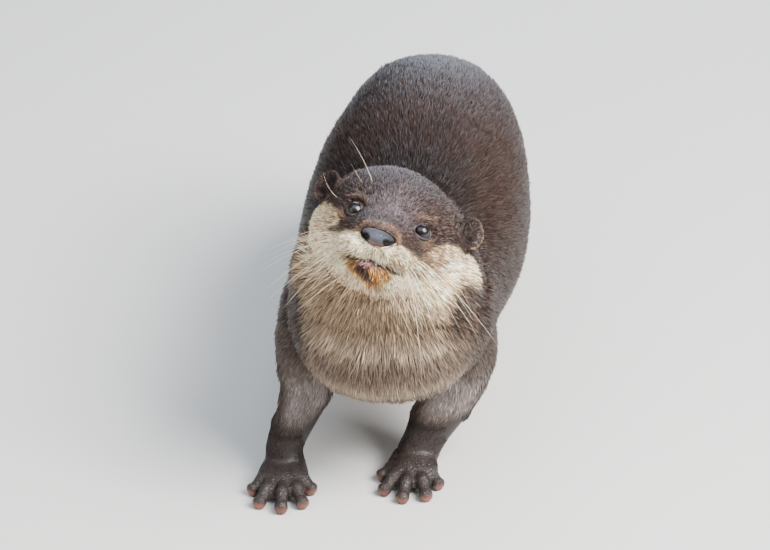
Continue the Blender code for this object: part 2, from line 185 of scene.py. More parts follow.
# ------------------------------------------------------------------ meshes
@dataclass
class Surface:
    """Points and faces of one or more closed shapes."""

    points: Array
    faces: list[Array]

    @staticmethod
    def join(parts: list[Surface]) -> Surface:
        """Several surfaces put in one.

        Args:
            parts: The surfaces.

        Returns:
            Their points and faces as one surface.
        """
        offset = 0
        faces: dict[int, list[Array]] = {}
        for part in parts:
            for block in part.faces:
                faces.setdefault(block.shape[1], []).append(block + offset)
            offset += len(part.points)
        return Surface(np.vstack([p.points for p in parts]), [np.vstack(b) for b in faces.values()])

    @staticmethod
    def tube(rings: Array) -> Surface:
        """A closed tube through rings of points, with a fan to the middle of each end.

        Args:
            rings: Array of ring, point and coordinate.

        Returns:
            The tube, its faces pointing out when the rings run anticlockwise about the path.
        """
        count, around = rings.shape[:2]
        ids = np.arange(count * around).reshape(count, around)
        right = np.roll(ids, -1, axis=1)
        sides = np.stack([ids[:-1], right[:-1], right[1:], ids[1:]], axis=-1).reshape(-1, 4)
        first, last = count * around, count * around + 1
        start = np.stack([right[0], ids[0], np.full(around, first)], axis=-1)
        end = np.stack([ids[-1], right[-1], np.full(around, last)], axis=-1)
        points = np.vstack([rings.reshape(-1, 3), rings[0].mean(0), rings[-1].mean(0)])
        return Surface(points, [sides, np.vstack([start, end])])

    def mesh(self, name: str) -> bpy.types.Mesh:
        """A new Blender mesh of the surface, in the surface's own units.

        Args:
            name: The mesh's name.

        Returns:
            The mesh.
        """
        mesh = bpy.data.meshes.new(name)
        sizes = np.concatenate([np.full(len(f), f.shape[1]) for f in self.faces])
        corners = np.concatenate([f.reshape(-1) for f in self.faces]).astype(np.int32)
        mesh.vertices.add(len(self.points))
        mesh.vertices.foreach_set("co", self.points.astype(np.float32).reshape(-1))
        mesh.loops.add(len(corners))
        mesh.loops.foreach_set("vertex_index", corners)
        mesh.polygons.add(len(sizes))
        starts = np.concatenate([[0], np.cumsum(sizes)[:-1]]).astype(np.int32)
        mesh.polygons.foreach_set("loop_start", starts)
        mesh.update(calc_edges=True)
        return mesh

    @staticmethod
    def read(mesh: bpy.types.Mesh) -> Surface:
        """A mesh read back as points and triangles.

        Args:
            mesh: The mesh.

        Returns:
            Its surface.
        """
        points = np.empty(len(mesh.vertices) * 3, np.float32)
        mesh.vertices.foreach_get("co", points)
        mesh.calc_loop_triangles()
        triangles = np.empty(len(mesh.loop_triangles) * 3, np.int32)
        mesh.loop_triangles.foreach_get("vertices", triangles)
        return Surface(points.reshape(-1, 3).astype(float), [triangles.reshape(-1, 3)])

    def normals(self) -> Array:
        """Outward directions at the points: the mean of the faces about each, by their area.

        Returns:
            Directions of length one.
        """
        triangles = self.faces[0]
        a, b, c = (self.points[triangles[:, k]] for k in range(3))
        across = np.cross(b - a, c - a)
        total = np.stack(
            [sum(np.bincount(triangles[:, k], across[:, axis], len(self.points)) for k in range(3))
             for axis in range(3)], axis=-1)
        return unit(total)


def superellipse(width: Array, above: Array, below: Array, power: float, count: int) -> tuple[Array, Array]:
    """Sections that are half a superellipse above the widest line and half below it.

    A point at angle q lies |cos q| to the power 2/power across and |sin q| to the same power up.

    Args:
        width: Half width of each section.
        above: Height over the widest line.
        below: Depth under it.
        power: 2 gives an ellipse, more a squarer section.
        count: Points in a section.

    Returns:
        Across and up, one row for each section.
    """
    across, rise = (np.sign(v) * np.abs(v) ** (2 / power)
                    for v in (np.cos(full_turn(count)), np.sin(full_turn(count))))
    half = np.where(rise[None] > 0, above[:, None], below[:, None])
    return across[None] * width[:, None], rise[None] * half


def body_loft(stations: Array | Rows, reference: Triple = (0, 0, 1), power: float = 2.2, count: int = 48,
              per_span: int = 8) -> Surface:
    """A section carried along a curve, turned so that its top points along reference.

    Args:
        stations: Rows of x, y, z, half width, height above and depth below.
        reference: The way that a section's top points.
        power: The section's superellipse power.
        count: Points in a section.
        per_span: Sections between two stations.

    Returns:
        The closed tube.
    """
    rows = spline(stations, per_span)
    along = unit(np.gradient(rows[:, :3], axis=0))
    side = unit(np.cross(along, np.asarray(reference, float)))
    up = np.cross(side, along)
    across, rise = superellipse(rows[:, 3], rows[:, 4], rows[:, 5], power, count)
    rings = rows[:, None, :3] + across[..., None] * side[:, None] + rise[..., None] * up[:, None]
    return Surface.tube(rings[:, ::-1])


def ball(rows: int, around: int) -> tuple[Array, Array]:
    """Points of a ball of radius one, and their polar angles.

    The point at polar angle p and turn q is (sin p cos q, sin p sin q, cos p).

    Args:
        rows: Points from pole to pole.
        around: Points round the equator.

    Returns:
        The points as an array of row, turn and coordinate, and the angles as a column.
    """
    angle = np.linspace(0.02, np.pi - 0.02, rows)[:, None]
    turn = full_turn(around)
    return np.stack([np.sin(angle) * np.cos(turn), np.sin(angle) * np.sin(turn),
                     np.cos(angle) + 0.0 * turn], axis=-1), angle


def ellipsoid(centre: Array, axes: Array, radii: Triple, count: int = 40) -> Surface:
    """A ball stretched along three directions: centre + sum of radius * direction * (unit ball).

    Args:
        centre: Middle.
        axes: Three unit directions as rows.
        radii: Half sizes along them.
        count: Points round its equator.

    Returns:
        The closed ball.
    """
    points, _ = ball(count // 2, count)
    return Surface.tube(centre + (points * np.asarray(radii)) @ np.asarray(axes))


def link(name: str, mesh: bpy.types.Mesh) -> bpy.types.Object:
    """A mesh put in the scene at the origin, as an object of that name.

    Args:
        name: The object's name.
        mesh: Its mesh.

    Returns:
        The object.
    """
    obj = bpy.data.objects.new(name, mesh)
    bpy.context.scene.collection.objects.link(obj)
    return obj


def modified(name: str, mesh: bpy.types.Mesh, *steps: tuple[str, dict[str, object]]) -> bpy.types.Mesh:
    """What a mesh becomes under a row of modifiers; the old mesh is removed.

    Args:
        name: A name for the object used on the way.
        mesh: The mesh.
        steps: Each modifier's type and settings.

    Returns:
        A new mesh.
    """
    obj = link(name, mesh)
    for kind, settings in steps:
        modifier = obj.modifiers.new(kind.lower(), kind)
        for key, value in settings.items():
            setattr(modifier, key, value)
    graph = bpy.context.evaluated_depsgraph_get()
    result = bpy.data.meshes.new_from_object(obj.evaluated_get(graph))
    bpy.data.objects.remove(obj)
    bpy.data.meshes.remove(mesh)
    return result


def smooth_piece(name: str, surface: Surface, finish: Finish, colours: Array | None = None,
                 numbers: dict[str, Array] | None = None, facing: Array | None = None) -> bpy.types.Object:
    """Put a surface in the scene as a smooth piece with its finish.

    Args:
        name: The piece's name.
        surface: Its surface, in millimetres in the animal's frame.
        finish: Its finish.
        colours: Linear colour of each point, kept as the markings.
        numbers: Other attributes by name, one number for each point.
        facing: The way that each point is shaded, where it isn't the surface's own.

    Returns:
        The piece.
    """
    mesh = Surface(place(surface.points), surface.faces).mesh(name)
    mesh.shade_smooth()
    if facing is not None:
        mesh.normals_split_custom_set_from_vertices(facing)
    if colours is not None:
        rows = np.column_stack([colours, np.ones(len(colours))]).astype(np.float32)
        attribute = mesh.color_attributes.new("markings", "FLOAT_COLOR", "POINT")
        attribute.data.foreach_set("color", rows.reshape(-1))
    for key, values in (numbers or {}).items():
        attribute = mesh.attributes.new(key, "FLOAT", "POINT")
        attribute.data.foreach_set("value", values.astype(np.float32))
    mesh.materials.append(finish.material())
    LOG.info("%s: %d faces", name, len(mesh.polygons))
    return link(name, mesh)


# ------------------------------------------------------------------ the animal's measurements
class Side(Enum):
    """The animal's own right and left; the value is the sign of X."""

    RIGHT = -1
    LEFT = 1


class Placed:
    """A thing with a middle and three unit directions of its own, given as rows."""

    def centre(self) -> Array:
        """The middle."""
        raise NotImplementedError

    def axes(self) -> Array:
        """The three directions."""
        raise NotImplementedError

    def local(self, points: Array) -> Array:
        """Places along the thing's own directions, from its middle."""
        return (points - self.centre()) @ self.axes().T

    def world(self, local: Array) -> Array:
        """Places in the animal's frame of ones along the thing's own directions."""
        return self.centre() + local @ self.axes()


@dataclass(frozen=True)
class HeadFrame(Placed):
    """Where the head is and how it turns: pitch, then yaw, then a lean to the animal's left."""

    nose: Triple = (-4.4, -60.0, 200.0)
    pitch: float = 30.0
    yaw: float = 7.0
    roll: float = 15.0

    def centre(self) -> Array:
        """The middle of the nose pad."""
        return np.asarray(self.nose)

    def axes(self) -> Array:
        """Forward, left and up of the head as rows.

        The rows of the resting head are leaned about Y, nodded about X and turned about Z.

        Returns:
            The three rows.
        """
        nod, turn, lean = (math.radians(v) for v in (-self.pitch, -self.yaw, self.roll))
        about_y = np.array([[math.cos(lean), 0, math.sin(lean)], [0, 1, 0],
                            [-math.sin(lean), 0, math.cos(lean)]])
        about_x = np.array([[1, 0, 0], [0, math.cos(nod), -math.sin(nod)],
                            [0, math.sin(nod), math.cos(nod)]])
        about_z = np.array([[math.cos(turn), -math.sin(turn), 0],
                            [math.sin(turn), math.cos(turn), 0], [0, 0, 1]])
        rest = np.array([[0, -1, 0], [1, 0, 0], [0, 0, 1]], float)
        return rest @ (about_z @ about_x @ about_y).T

    def point(self, forward: float, side: float, up: float) -> Array:
        """One place given in the head's own frame."""
        return self.world(np.array([forward, side, up]))

    def outward(self, side: Side, left: float, forward: float, up: float) -> Array:
        """A direction out of one side of the head, from its parts."""
        ahead, across, above = self.axes()
        return unit(across * side.value * left + ahead * forward + above * up)


HEAD = HeadFrame()
EYE_RADIUS = 5.2
EYE_PLACE = (-29.0, 19.2, 9.8)
EAR_PLACE = (-63.0, 43.0, 18.0)


def on_side(where: Triple, side: Side) -> Array:
    """A place of the head's left half, taken to either side."""
    return HEAD.point(where[0], side.value * where[1], where[2])


def frame_shift() -> Array:
    """What brings the animal's own frame to the shared one, read from the left eye's solid."""
    low, high = (np.array(v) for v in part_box("eye_left"))
    return (low + high) / 2 / MM - on_side(EYE_PLACE, Side.LEFT)


SHIFT = frame_shift()


def place(points: Array) -> Array:
    """Millimetres in the animal's frame as metres in the shared frame."""
    return (points + SHIFT) * MM


@dataclass(frozen=True)
class Foot:
    """A foot's ankle, the way it points (degrees towards the animal's left) and its side."""

    x: float
    y: float
    heading: float
    side: Side

    def forward(self) -> Array:
        """The way the foot points, level."""
        turn = math.radians(self.heading)
        return np.array([math.sin(turn), -math.cos(turn), 0.0])

    def left(self) -> Array:
        """The level direction square to forward."""
        turn = math.radians(self.heading)
        return np.array([math.cos(turn), math.sin(turn), 0.0])

    def ankle(self) -> Array:
        """The ankle's place on the floor."""
        return np.array([self.x, self.y, 0.0])


@dataclass(frozen=True)
class FootPlan:
    """What a kind of foot is like.

    Attributes:
        fan: How far before the ankle the toes' lines meet.
        toes: Angle, start and length of each toe.
        pad: The palm or sole: rows of forward, height, half width, height above, depth below.
        bare: Half width of the bare part, and how far forward it begins and is wholly bare.
    """

    fan: float
    toes: Rows
    pad: Rows
    bare: Triple


HAND = FootPlan(
    4.2, ((-52, 10, 13), (-25, 14, 18), (-2, 16, 19), (22, 15, 18), (46, 11, 14)),
    ((-8, 9, 7, 7, 7), (-2, 9, 12, 9, 9.5), (8, 8, 15, 8.5, 9), (17, 7, 15.5, 7, 8), (23, 6.5, 10, 4, 5)),
    (36, 8, 30))
HIND = FootPlan(
    8.4, ((-30, 33, 15), (-14, 38, 20), (0, 40, 22), (13, 38, 20), (28, 32, 16)),
    ((-12, 11, 6, 7, 7), (-5, 11, 11, 11, 12), (10, 9, 12.5, 10, 10.5), (28, 7.5, 15, 8, 9),
     (42, 6.8, 16, 7, 8), (50, 6.4, 10, 4, 5)),
    (34, 12, 38))

# A toe: share of its length, height of its middle and radius.
TOE_PROFILE = (
    (0.0, 8.0, 4.0), (0.25, 8.4, 3.9), (0.42, 8.2, 4.3), (0.6, 6.4, 3.8), (0.78, 4.6, 3.9),
    (0.95, 3.9, 4.5), (1.08, 3.6, 3.6), (1.14, 3.4, 1.6),
)

# Trunk, neck and arms: x, y, z, half width, height above and depth below.
TRUNK = (
    (1, -43, 112, 4, 4, 4), (1, -41, 112, 19, 18, 19), (1, -34, 112, 35, 31, 34),
    (1, -20, 113, 49, 44, 47), (2, 4, 114, 59, 53, 53), (8, 44, 112, 63, 62, 51),
    (16, 88, 112, 68, 71, 50), (22, 130, 114, 67, 77, 50), (27, 170, 114, 61, 76, 48),
    (28, 204, 110, 55, 66, 44), (27, 233, 99, 43, 50, 38), (26, 259, 81, 31, 34, 30),
    (26, 284, 58, 24, 24, 23), (26, 312, 35, 20.5, 18, 18), (25, 346, 19, 18, 14, 16.5),
    (23, 388, 13.5, 15.5, 12, 15), (23, 430, 11.5, 13, 10.5, 13), (27, 470, 9.8, 10.5, 9, 11.2),
    (34, 506, 8, 7.5, 7, 9), (40, 528, 6.4, 4.5, 4.5, 6.8), (43, 537, 5.5, 2, 2, 3),
)
NECK = (
    (2, -12, 168, 38, 38, 34), (3, -8, 154, 49, 46, 39), (2, 0, 140, 55, 52, 43),
    (1, 12, 124, 56, 54, 47), (1, 24, 112, 50, 48, 44),
)
ARMS = {
    Side.RIGHT: (
        (-30, 32, 132, 18, 24, 22), (-38, 27, 113, 21, 30, 26), (-44, 26, 92, 20, 27, 24),
        (-46, 30, 70, 19, 22, 20), (-46, 27, 52, 17.5, 17, 17), (-53, 17, 35, 12.5, 13, 13),
        (-59, 11, 20, 11, 10.5, 10.5), (-59, 6, 10, 12, 10, 10)),
    Side.LEFT: (
        (30, 32, 132, 18, 24, 22), (38, 27, 113, 21, 30, 26), (45, 26, 92, 20.5, 27, 24),
        (46, 30, 70, 20, 22, 20), (41, 27, 52, 18, 17, 17), (32, 26, 35, 15.5, 14, 14),
        (24, 21, 20, 12.5, 11, 11), (19, 16, 10, 12.5, 10, 10)),
}

# Skull and jaw in the head's frame: f, half width, then top, widest line and bottom as u.
SKULL = (
    (1.0, 5.0, 2.5, -2.0, -6.0), (-1.5, 10.5, 6.0, -3.0, -10.0), (-6.0, 17.0, 8.5, -5.0, -13.0),
    (-13.0, 21.5, 11.5, -6.0, -15.0), (-22.0, 25.5, 16.5, -5.0, -18.0),
    (-31.0, 31.0, 23.0, -4.0, -23.0), (-42.0, 37.4, 31.0, -4.0, -28.0),
    (-54.0, 42.8, 36.5, -3.0, -32.0), (-66.0, 45.6, 39.8, -2.0, -34.0),
    (-80.0, 43.8, 40.0, 0.0, -34.0), (-94.0, 38.0, 34.5, 0.0, -30.0), (-104.0, 24.0, 24.0, 0.0, -20.0),
)
JAW = (
    (-4.5, 7.0, -11.5, -14.5, -18.0), (-9.0, 13.5, -10.0, -16.0, -21.5),
    (-20.0, 19.0, -8.0, -17.0, -26.5), (-35.0, 26.0, -5.0, -18.0, -32.0),
    (-52.0, 31.0, -5.0, -18.0, -34.0),
)

# The fold behind the neck: middles and half sizes of two balls.
NAPE = (((5.0, 34.0, 146.0), (45.0, 31.0, 35.0)), ((6.0, 46.0, 140.0), (50.0, 40.0, 38.0)))


@dataclass
class Limb:
    """One leg from the trunk to the toes."""

    foot: Foot
    stations: Array
    plan: FootPlan
    web_root: float = 0.22
    web_length: float = 0.36
    web_half_thickness: float = 2.1
    web_height: float = 4.6

    @staticmethod
    def fore(foot: Foot) -> Limb:
        """Shoulder, arm and wrist above a hand."""
        return Limb(foot, np.array(ARMS[foot.side], float), HAND)

    @staticmethod
    def hind(foot: Foot, hip: float = 25.0) -> Limb:
        """Thigh, shank and heel above a hind foot, from the hips' middle.

        Args:
            foot: The foot that it ends in.
            hip: The hips' middle along X.

        Returns:
            The limb.
        """
        s = foot.side.value
        rows = (
            (hip + s * 27, 192, 126, 24, 32, 34), (hip + s * 36, 184, 106, 26, 40, 38),
            (hip + s * 38, 176, 84, 23, 32, 32),
            (hip * 0.6 + s * 32 + foot.x * 0.2, 180, 62, 18, 22, 24),
            (foot.x * 0.7 + s * 12 + 4, 204, 42, 13.5, 15, 15), (foot.x, foot.y + 2, 24, 11.5, 12, 12),
            (foot.x, foot.y - 4, 12, 12, 11, 11),
        )
        return Limb(foot, np.array(rows, float), HIND)

    def rays(self) -> list[tuple[Array, Array, float]]:
        """Root, direction and length of each toe.

        Returns:
            One for each toe, from the inner side outward.
        """
        rays = []
        forward = self.foot.forward()
        for angle, start, length in self.plan.toes:
            turn = math.radians(angle * self.foot.side.value)
            way = forward * math.cos(turn) + self.foot.left() * math.sin(turn)
            rays.append((self.foot.ankle() + forward * self.plan.fan + way * start, way, length))
        return rays

    def surfaces(self) -> list[Surface]:
        """The leg, its pad and its toes as closed lofts, with a flat ball of web between toes.

        Returns:
            The parts, not joined.
        """
        ankle, forward = self.foot.ankle(), self.foot.forward()
        pad = np.array([[*(ankle + forward * row[0])[:2], *row[1:]] for row in self.plan.pad])
        parts = [body_loft(self.stations, (0, -1, 0)), body_loft(pad, count=32)]
        rays = self.rays()
        for root, way, length in rays:
            rows = [[*(root + way * length * share)[:2], height, radius, radius, radius]
                    for share, height, radius in TOE_PROFILE]
            parts.append(body_loft(np.array(rows), power=2.0, count=24, per_span=4))
        for (root, way, length), (other, turned, _) in zip(rays, rays[1:]):
            near, far = root + way * length * self.web_root, other + turned * length * self.web_root
            across, along = unit(far - near), unit(way + turned)
            along = unit(along - across * (along @ across))
            axes = np.array([across, along, np.cross(across, along)])
            radii = (0.5 * np.linalg.norm(far - near), self.web_length * length, self.web_half_thickness)
            parts.append(ellipsoid(0.5 * (near + far) + self.web_height * UP, axes, radii, 24))
        return parts

    def path(self) -> Array:
        """The line down the leg and out along the foot, with its radius: rows of x, y, z, r.

        Returns:
            The dense rows.
        """
        leg = np.column_stack([self.stations[:, :3], self.stations[:, 3:].mean(1)])
        reach = self.plan.fan + self.plan.toes[2][1] + self.plan.toes[2][2]
        out = np.array([[*(self.foot.ankle() + self.foot.forward() * reach * k)[:2], 7.0, 14.0]
                        for k in (0.35, 0.7, 1.0)])
        return spline(np.vstack([leg[:-1], out]), 6)


LIMBS = [
    Limb.fore(Foot(-59.0, 7.0, -4.0, Side.RIGHT)), Limb.fore(Foot(18.0, 17.0, -10.0, Side.LEFT)),
    Limb.hind(Foot(-20.0, 216.0, -6.0, Side.RIGHT)), Limb.hind(Foot(42.0, 226.0, 0.0, Side.LEFT)),
]


# ------------------------------------------------------------------ where things are on the animal
@dataclass
class Places:
    """What the coat and the markings need to know about points on the animal.

    Attributes:
        points: The points, in millimetres in the animal's frame.
        normals: Outward directions there.
        head: The points in the head's frame.
        legs: For each limb, the points' share of the way down, nearness and the limb's direction.
    """

    points: Array
    normals: Array
    head: Array = field(init=False)
    legs: list[tuple[Array, Array, Array]] = field(init=False)

    def __post_init__(self) -> None:
        """Work out the places in the head's frame and along each limb."""
        self.head = HEAD.local(self.points)
        self.legs = [self.along(limb) for limb in LIMBS]

    def noise(self, size: float, seed: int) -> Array:
        """Smooth noise at the points."""
        return value_noise(self.points, size, seed)

    def along(self, limb: Limb) -> tuple[Array, Array, Array]:
        """Nearest station of a limb: its share of the way down, how near it is, its direction.

        Nearness is the distance to the limb's line divided by the limb's radius there.

        Args:
            limb: The limb.

        Returns:
            The three, each with one row for each point.
        """
        path = limb.path()
        tangents = unit(np.gradient(path[:, :3], axis=0))
        gaps = np.linalg.norm(self.points[:, None, :] - path[None, :, :3], axis=2) / path[None, :, 3]
        nearest = gaps.argmin(axis=1)
        near = gaps[np.arange(len(nearest)), nearest]
        return nearest / (len(path) - 1), near, tangents[nearest]

    @cached_property
    def head_share(self) -> Array:
        """1 on the head and 0 behind the nape and below the jaw."""
        f, _, u = self.head.T
        return ramp(-112, -92, f) * ramp(-46, -32, u - 0.10 * (f + 60))

    @cached_property
    def leg_share(self) -> list[Array]:
        """How far each point belongs to each leg below the elbow or the knee."""
        return [ramp(1.7, 1.25, near) * ramp(0.18, 0.48, share) for share, near, _ in self.legs]

    @cached_property
    def foot_share(self) -> list[Array]:
        """1 on the bare part of each foot: toes, then fading up to the wrist or the heel.

        Returns:
            Shares from 0 to 1 for each foot.
        """
        shares = []
        for limb in LIMBS:
            half_width, start, full = limb.plan.bare
            delta = self.points - limb.foot.ankle()
            ahead = delta @ limb.foot.forward() - 0.9 * np.maximum(delta[:, 2] - 12, 0)
            reach = np.abs(delta @ limb.foot.left()) < half_width
            shares.append(ramp(start, full, ahead) * ramp(44, 18, delta[:, 2]) * reach)
        return shares

    @cached_property
    def feet_share(self) -> Array:
        """The largest share in any foot."""
        return np.max(self.foot_share, axis=0)

    @cached_property
    def toe_share(self) -> Array:
        """How far out along its nearest toe a point is: 0 at the knuckle and 1 at the tip.

        Returns:
            Numbers from 0 to 1.2.
        """
        shares = []
        for limb, foot in zip(LIMBS, self.foot_share):
            best = np.zeros(len(self.points))
            for root, way, length in limb.rays():
                delta = self.points - root
                ahead = delta @ way
                beside = np.linalg.norm((delta - ahead[:, None] * way)[:, :2], axis=1)
                best = np.maximum(best, np.where(beside < 5.5, ahead / length, 0.0))
            shares.append(np.clip(best, 0.0, 1.2) * (foot > 0.05))
        return np.max(shares, axis=0)

    @cached_property
    def ear_reach(self) -> Array:
        """How far out from an ear's middle a point is, 1 at the rim, and 3 where there is no ear.

        Returns:
            Distances as shares of the ear's radius.
        """
        reach = np.full(len(self.points), 3.0)
        for ear in EARS:
            a, b, c = ear.local(self.points).T
            rho = np.hypot(a, b) / ear.radius
            reach = np.where((rho < 1.15) & (np.abs(c) < 6), rho, reach)
        return reach

    @cached_property
    def on_ear(self) -> Array:
        """True on either ear."""
        return self.ear_reach < 3


# ------------------------------------------------------------------ ears, eyes and mouth
@dataclass(frozen=True)
class Ear(Placed):
    """A low round ear, a dish that faces out and forward."""

    side: Side
    radius: float = 9.4
    half_thickness: float = 3.1
    dish: float = 2.9
    fold: float = 1.5

    def axes(self) -> Array:
        """Across, tall and outward directions as rows.

        Returns:
            The three rows.
        """
        outward = HEAD.outward(self.side, 0.7, 0.6, 0.25)
        across = unit(np.cross(outward, HEAD.axes()[2]))
        return np.array([across, np.cross(across, outward), outward])

    def centre(self) -> Array:
        """The ear's middle."""
        return on_side(EAR_PLACE, self.side)

    def surface(self) -> Surface:
        """The ear's blank, a flat ball."""
        return ellipsoid(self.centre(), self.axes(), (self.radius, self.radius, self.half_thickness))

    def hollow(self, points: Array) -> Array:
        """Push the front of the ear in as a dish with a thick rim and one inner fold.

        The push is dish * ramp from the rim inward, less a ridge that curves across it.

        Args:
            points: Points of the skin.

        Returns:
            The points, pushed in.
        """
        a, b, c = self.local(points).T
        rho = np.hypot(a, b) / self.radius
        front = (c > 0.2) & (c < 5) & (rho < 1)
        ridge = bell(-1.5, 1.4, b + 0.07 * a**2) * ramp(0.8, 0.5, rho)
        push = (self.dish * ramp(0.86, 0.5, rho) - self.fold * ridge) * front
        return points - push[:, None] * self.axes()[2]


def dome(radius: float, rho: Array) -> Array:
    """Height of a ball over its middle, at a distance from its axis."""
    return np.sqrt(np.maximum(radius**2 - rho**2, 0.0))


@dataclass(frozen=True)
class Eye(Placed):
    """An eyeball's setting: the way it looks, its opening and its lids."""

    side: Side
    half_width: float = 4.85
    half_height: float = 4.25
    lid: float = 0.75
    lid_reach: float = 4.2
    lid_thickness: float = 1.4
    rim: float = 1.0
    crease: float = 0.30

    def centre(self) -> Array:
        """Middle of the eyeball."""
        return on_side(EYE_PLACE, self.side)

    def axes(self) -> Array:
        """Backward along the opening, upward and outward, as rows.

        Returns:
            The three rows.
        """
        forward, _, up = HEAD.axes()
        outward = HEAD.outward(self.side, 0.52, 0.66, 0.42)
        tall = unit(up - outward * (up @ outward) + forward * 0.12)
        tall = unit(tall - outward * (tall @ outward))
        return np.array([np.cross(tall, outward), tall, outward])

    def opening(self, turn: Array) -> Array:
        """Radius of the opening at an angle: an ellipse drawn out a little at both corners.

        Args:
            turn: Angles round the opening.

        Returns:
            The radius at each.
        """
        c, s = np.cos(turn), np.sin(turn)
        ellipse = 1.0 / np.sqrt((c / self.half_width) ** 2 + (s / self.half_height) ** 2)
        return ellipse * (1.0 + 0.06 * np.abs(c) ** 12)

    def sink(self, points: Array) -> Array:
        """Take the skin inside the opening below the eyeball, and seat it round the ball.

        Inside the lids a point goes to the height of a smaller ball.  Out to nine millimetres it
        fades from the eyeball's own height to where the skin was.

        Args:
            points: Points of the skin.

        Returns:
            The points, seated.
        """
        local = self.local(points)
        rho, turn = polar(local)
        was = local[:, 2]
        edge = self.opening(turn) + self.lid
        fade = ramp(edge + 3, edge, rho)
        seat = np.minimum(dome(EYE_RADIUS + 0.1, rho), was)
        height = np.where(rho < edge, dome(EYE_RADIUS - 1.6, rho) - 0.2, was * (1 - fade) + seat * fade)
        push = np.where((was > 0) & (rho < 9), height - was, 0.0)
        return points + push[:, None] * self.axes()[2]

    def lids(self, skin: Surface, around: int = 96, across: int = 14) -> Surface:
        """The lids: a rounded rim on the eyeball that runs out and under the fur.

        For an angle q and a share t the radius is opening(q) + reach * t, and the height runs from
        the ball over a rounded edge to the skin's own height, read near by as a weighted mean.

        Args:
            skin: The skin, already sunk round the eye.
            around: Points round the opening.
            across: Points from the edge outward.

        Returns:
            A band of quads, closed at the back.
        """
        local = self.local(skin.points)
        known = local[(np.hypot(local[:, 0], local[:, 1]) < 13) & (local[:, 2] > 0)]
        turn = full_turn(around)
        share = np.linspace(0.0, 1.0, across)
        rho = self.opening(turn)[None] + self.lid_reach * share[:, None] - 0.15
        x, y = rho * np.cos(turn), rho * np.sin(turn)
        gap = (x.reshape(-1, 1) - known[:, 0]) ** 2 + (y.reshape(-1, 1) - known[:, 1]) ** 2
        weight = np.exp(-gap / 1.1) + 1e-12
        ground = ((weight @ known[:, 2]) / weight.sum(axis=1)).reshape(rho.shape)
        edge = self.rim * np.sqrt(np.clip(share / 0.16, 0.0, 1.0))[:, None]
        rim = dome(EYE_RADIUS, np.minimum(rho, EYE_RADIUS - 0.05)) + edge - 0.12
        mix = ramp(0.16, 0.85, share)[:, None]
        crease = self.crease * bell(0.42, 0.09, share)[:, None] * np.maximum(np.sin(turn), 0.0)
        rings = np.stack([x, y, rim * (1 - mix) + (ground - 0.35) * mix - crease], axis=-1)
        back = rings - self.lid_thickness * UP
        loop = np.concatenate([rings, back[::-1]], axis=0)
        ids = np.arange(loop.shape[0] * around).reshape(loop.shape[0], around)
        following = np.roll(ids, -1, axis=0)
        right, corner = np.roll(ids, -1, axis=1), np.roll(following, -1, axis=1)
        quads = np.stack([ids, following, corner, right], axis=-1).reshape(-1, 4)
        return Surface(self.world(loop.reshape(-1, 3)), [quads])


EARS = (Ear(Side.RIGHT), Ear(Side.LEFT))
EYES = (Eye(Side.RIGHT), Eye(Side.LEFT))


@dataclass(frozen=True)
class Mouth:
    """The line between the whisker pads and the chin, in the head's frame."""

    middle: float = -13.2
    corner_side: float = 15.0
    corner_up: float = -15.4
    depth: float = 2.2
    width: float = 1.15
    aside: float = 1.5

    def line(self, side: Array) -> Array:
        """Height of the line at a side: middle + (corner_up - middle) |side / corner|^1.6.

        Args:
            side: Distances to the head's left.

        Returns:
            The line's u at each.
        """
        share = np.abs((side - self.aside) / self.corner_side)
        dip = (self.corner_up - self.middle) * share**1.6
        return self.middle + dip + 0.35 * np.cos(side * 0.55) * (share < 1)

    def nearness(self, head: Array) -> Array:
        """1 on the line and 0 off it.

        Args:
            head: Places in the head's frame.

        Returns:
            The share of each place.
        """
        f, s, u = head.T
        front = ramp(-24, -17, f) * ramp(18.5, 14.5, np.abs(s - self.aside))
        return bell(0, self.width + 0.05 * np.abs(s), u - self.line(s)) * front

    def lip(self, head: Array) -> Array:
        """1 on the bare middle of the lower lip, just under the line."""
        f, s, u = head.T
        return bell(0.5, 5, s) * bell(self.middle - 1.9, 1.2, u) * ramp(-24, -17, f)


MOUTH = Mouth()


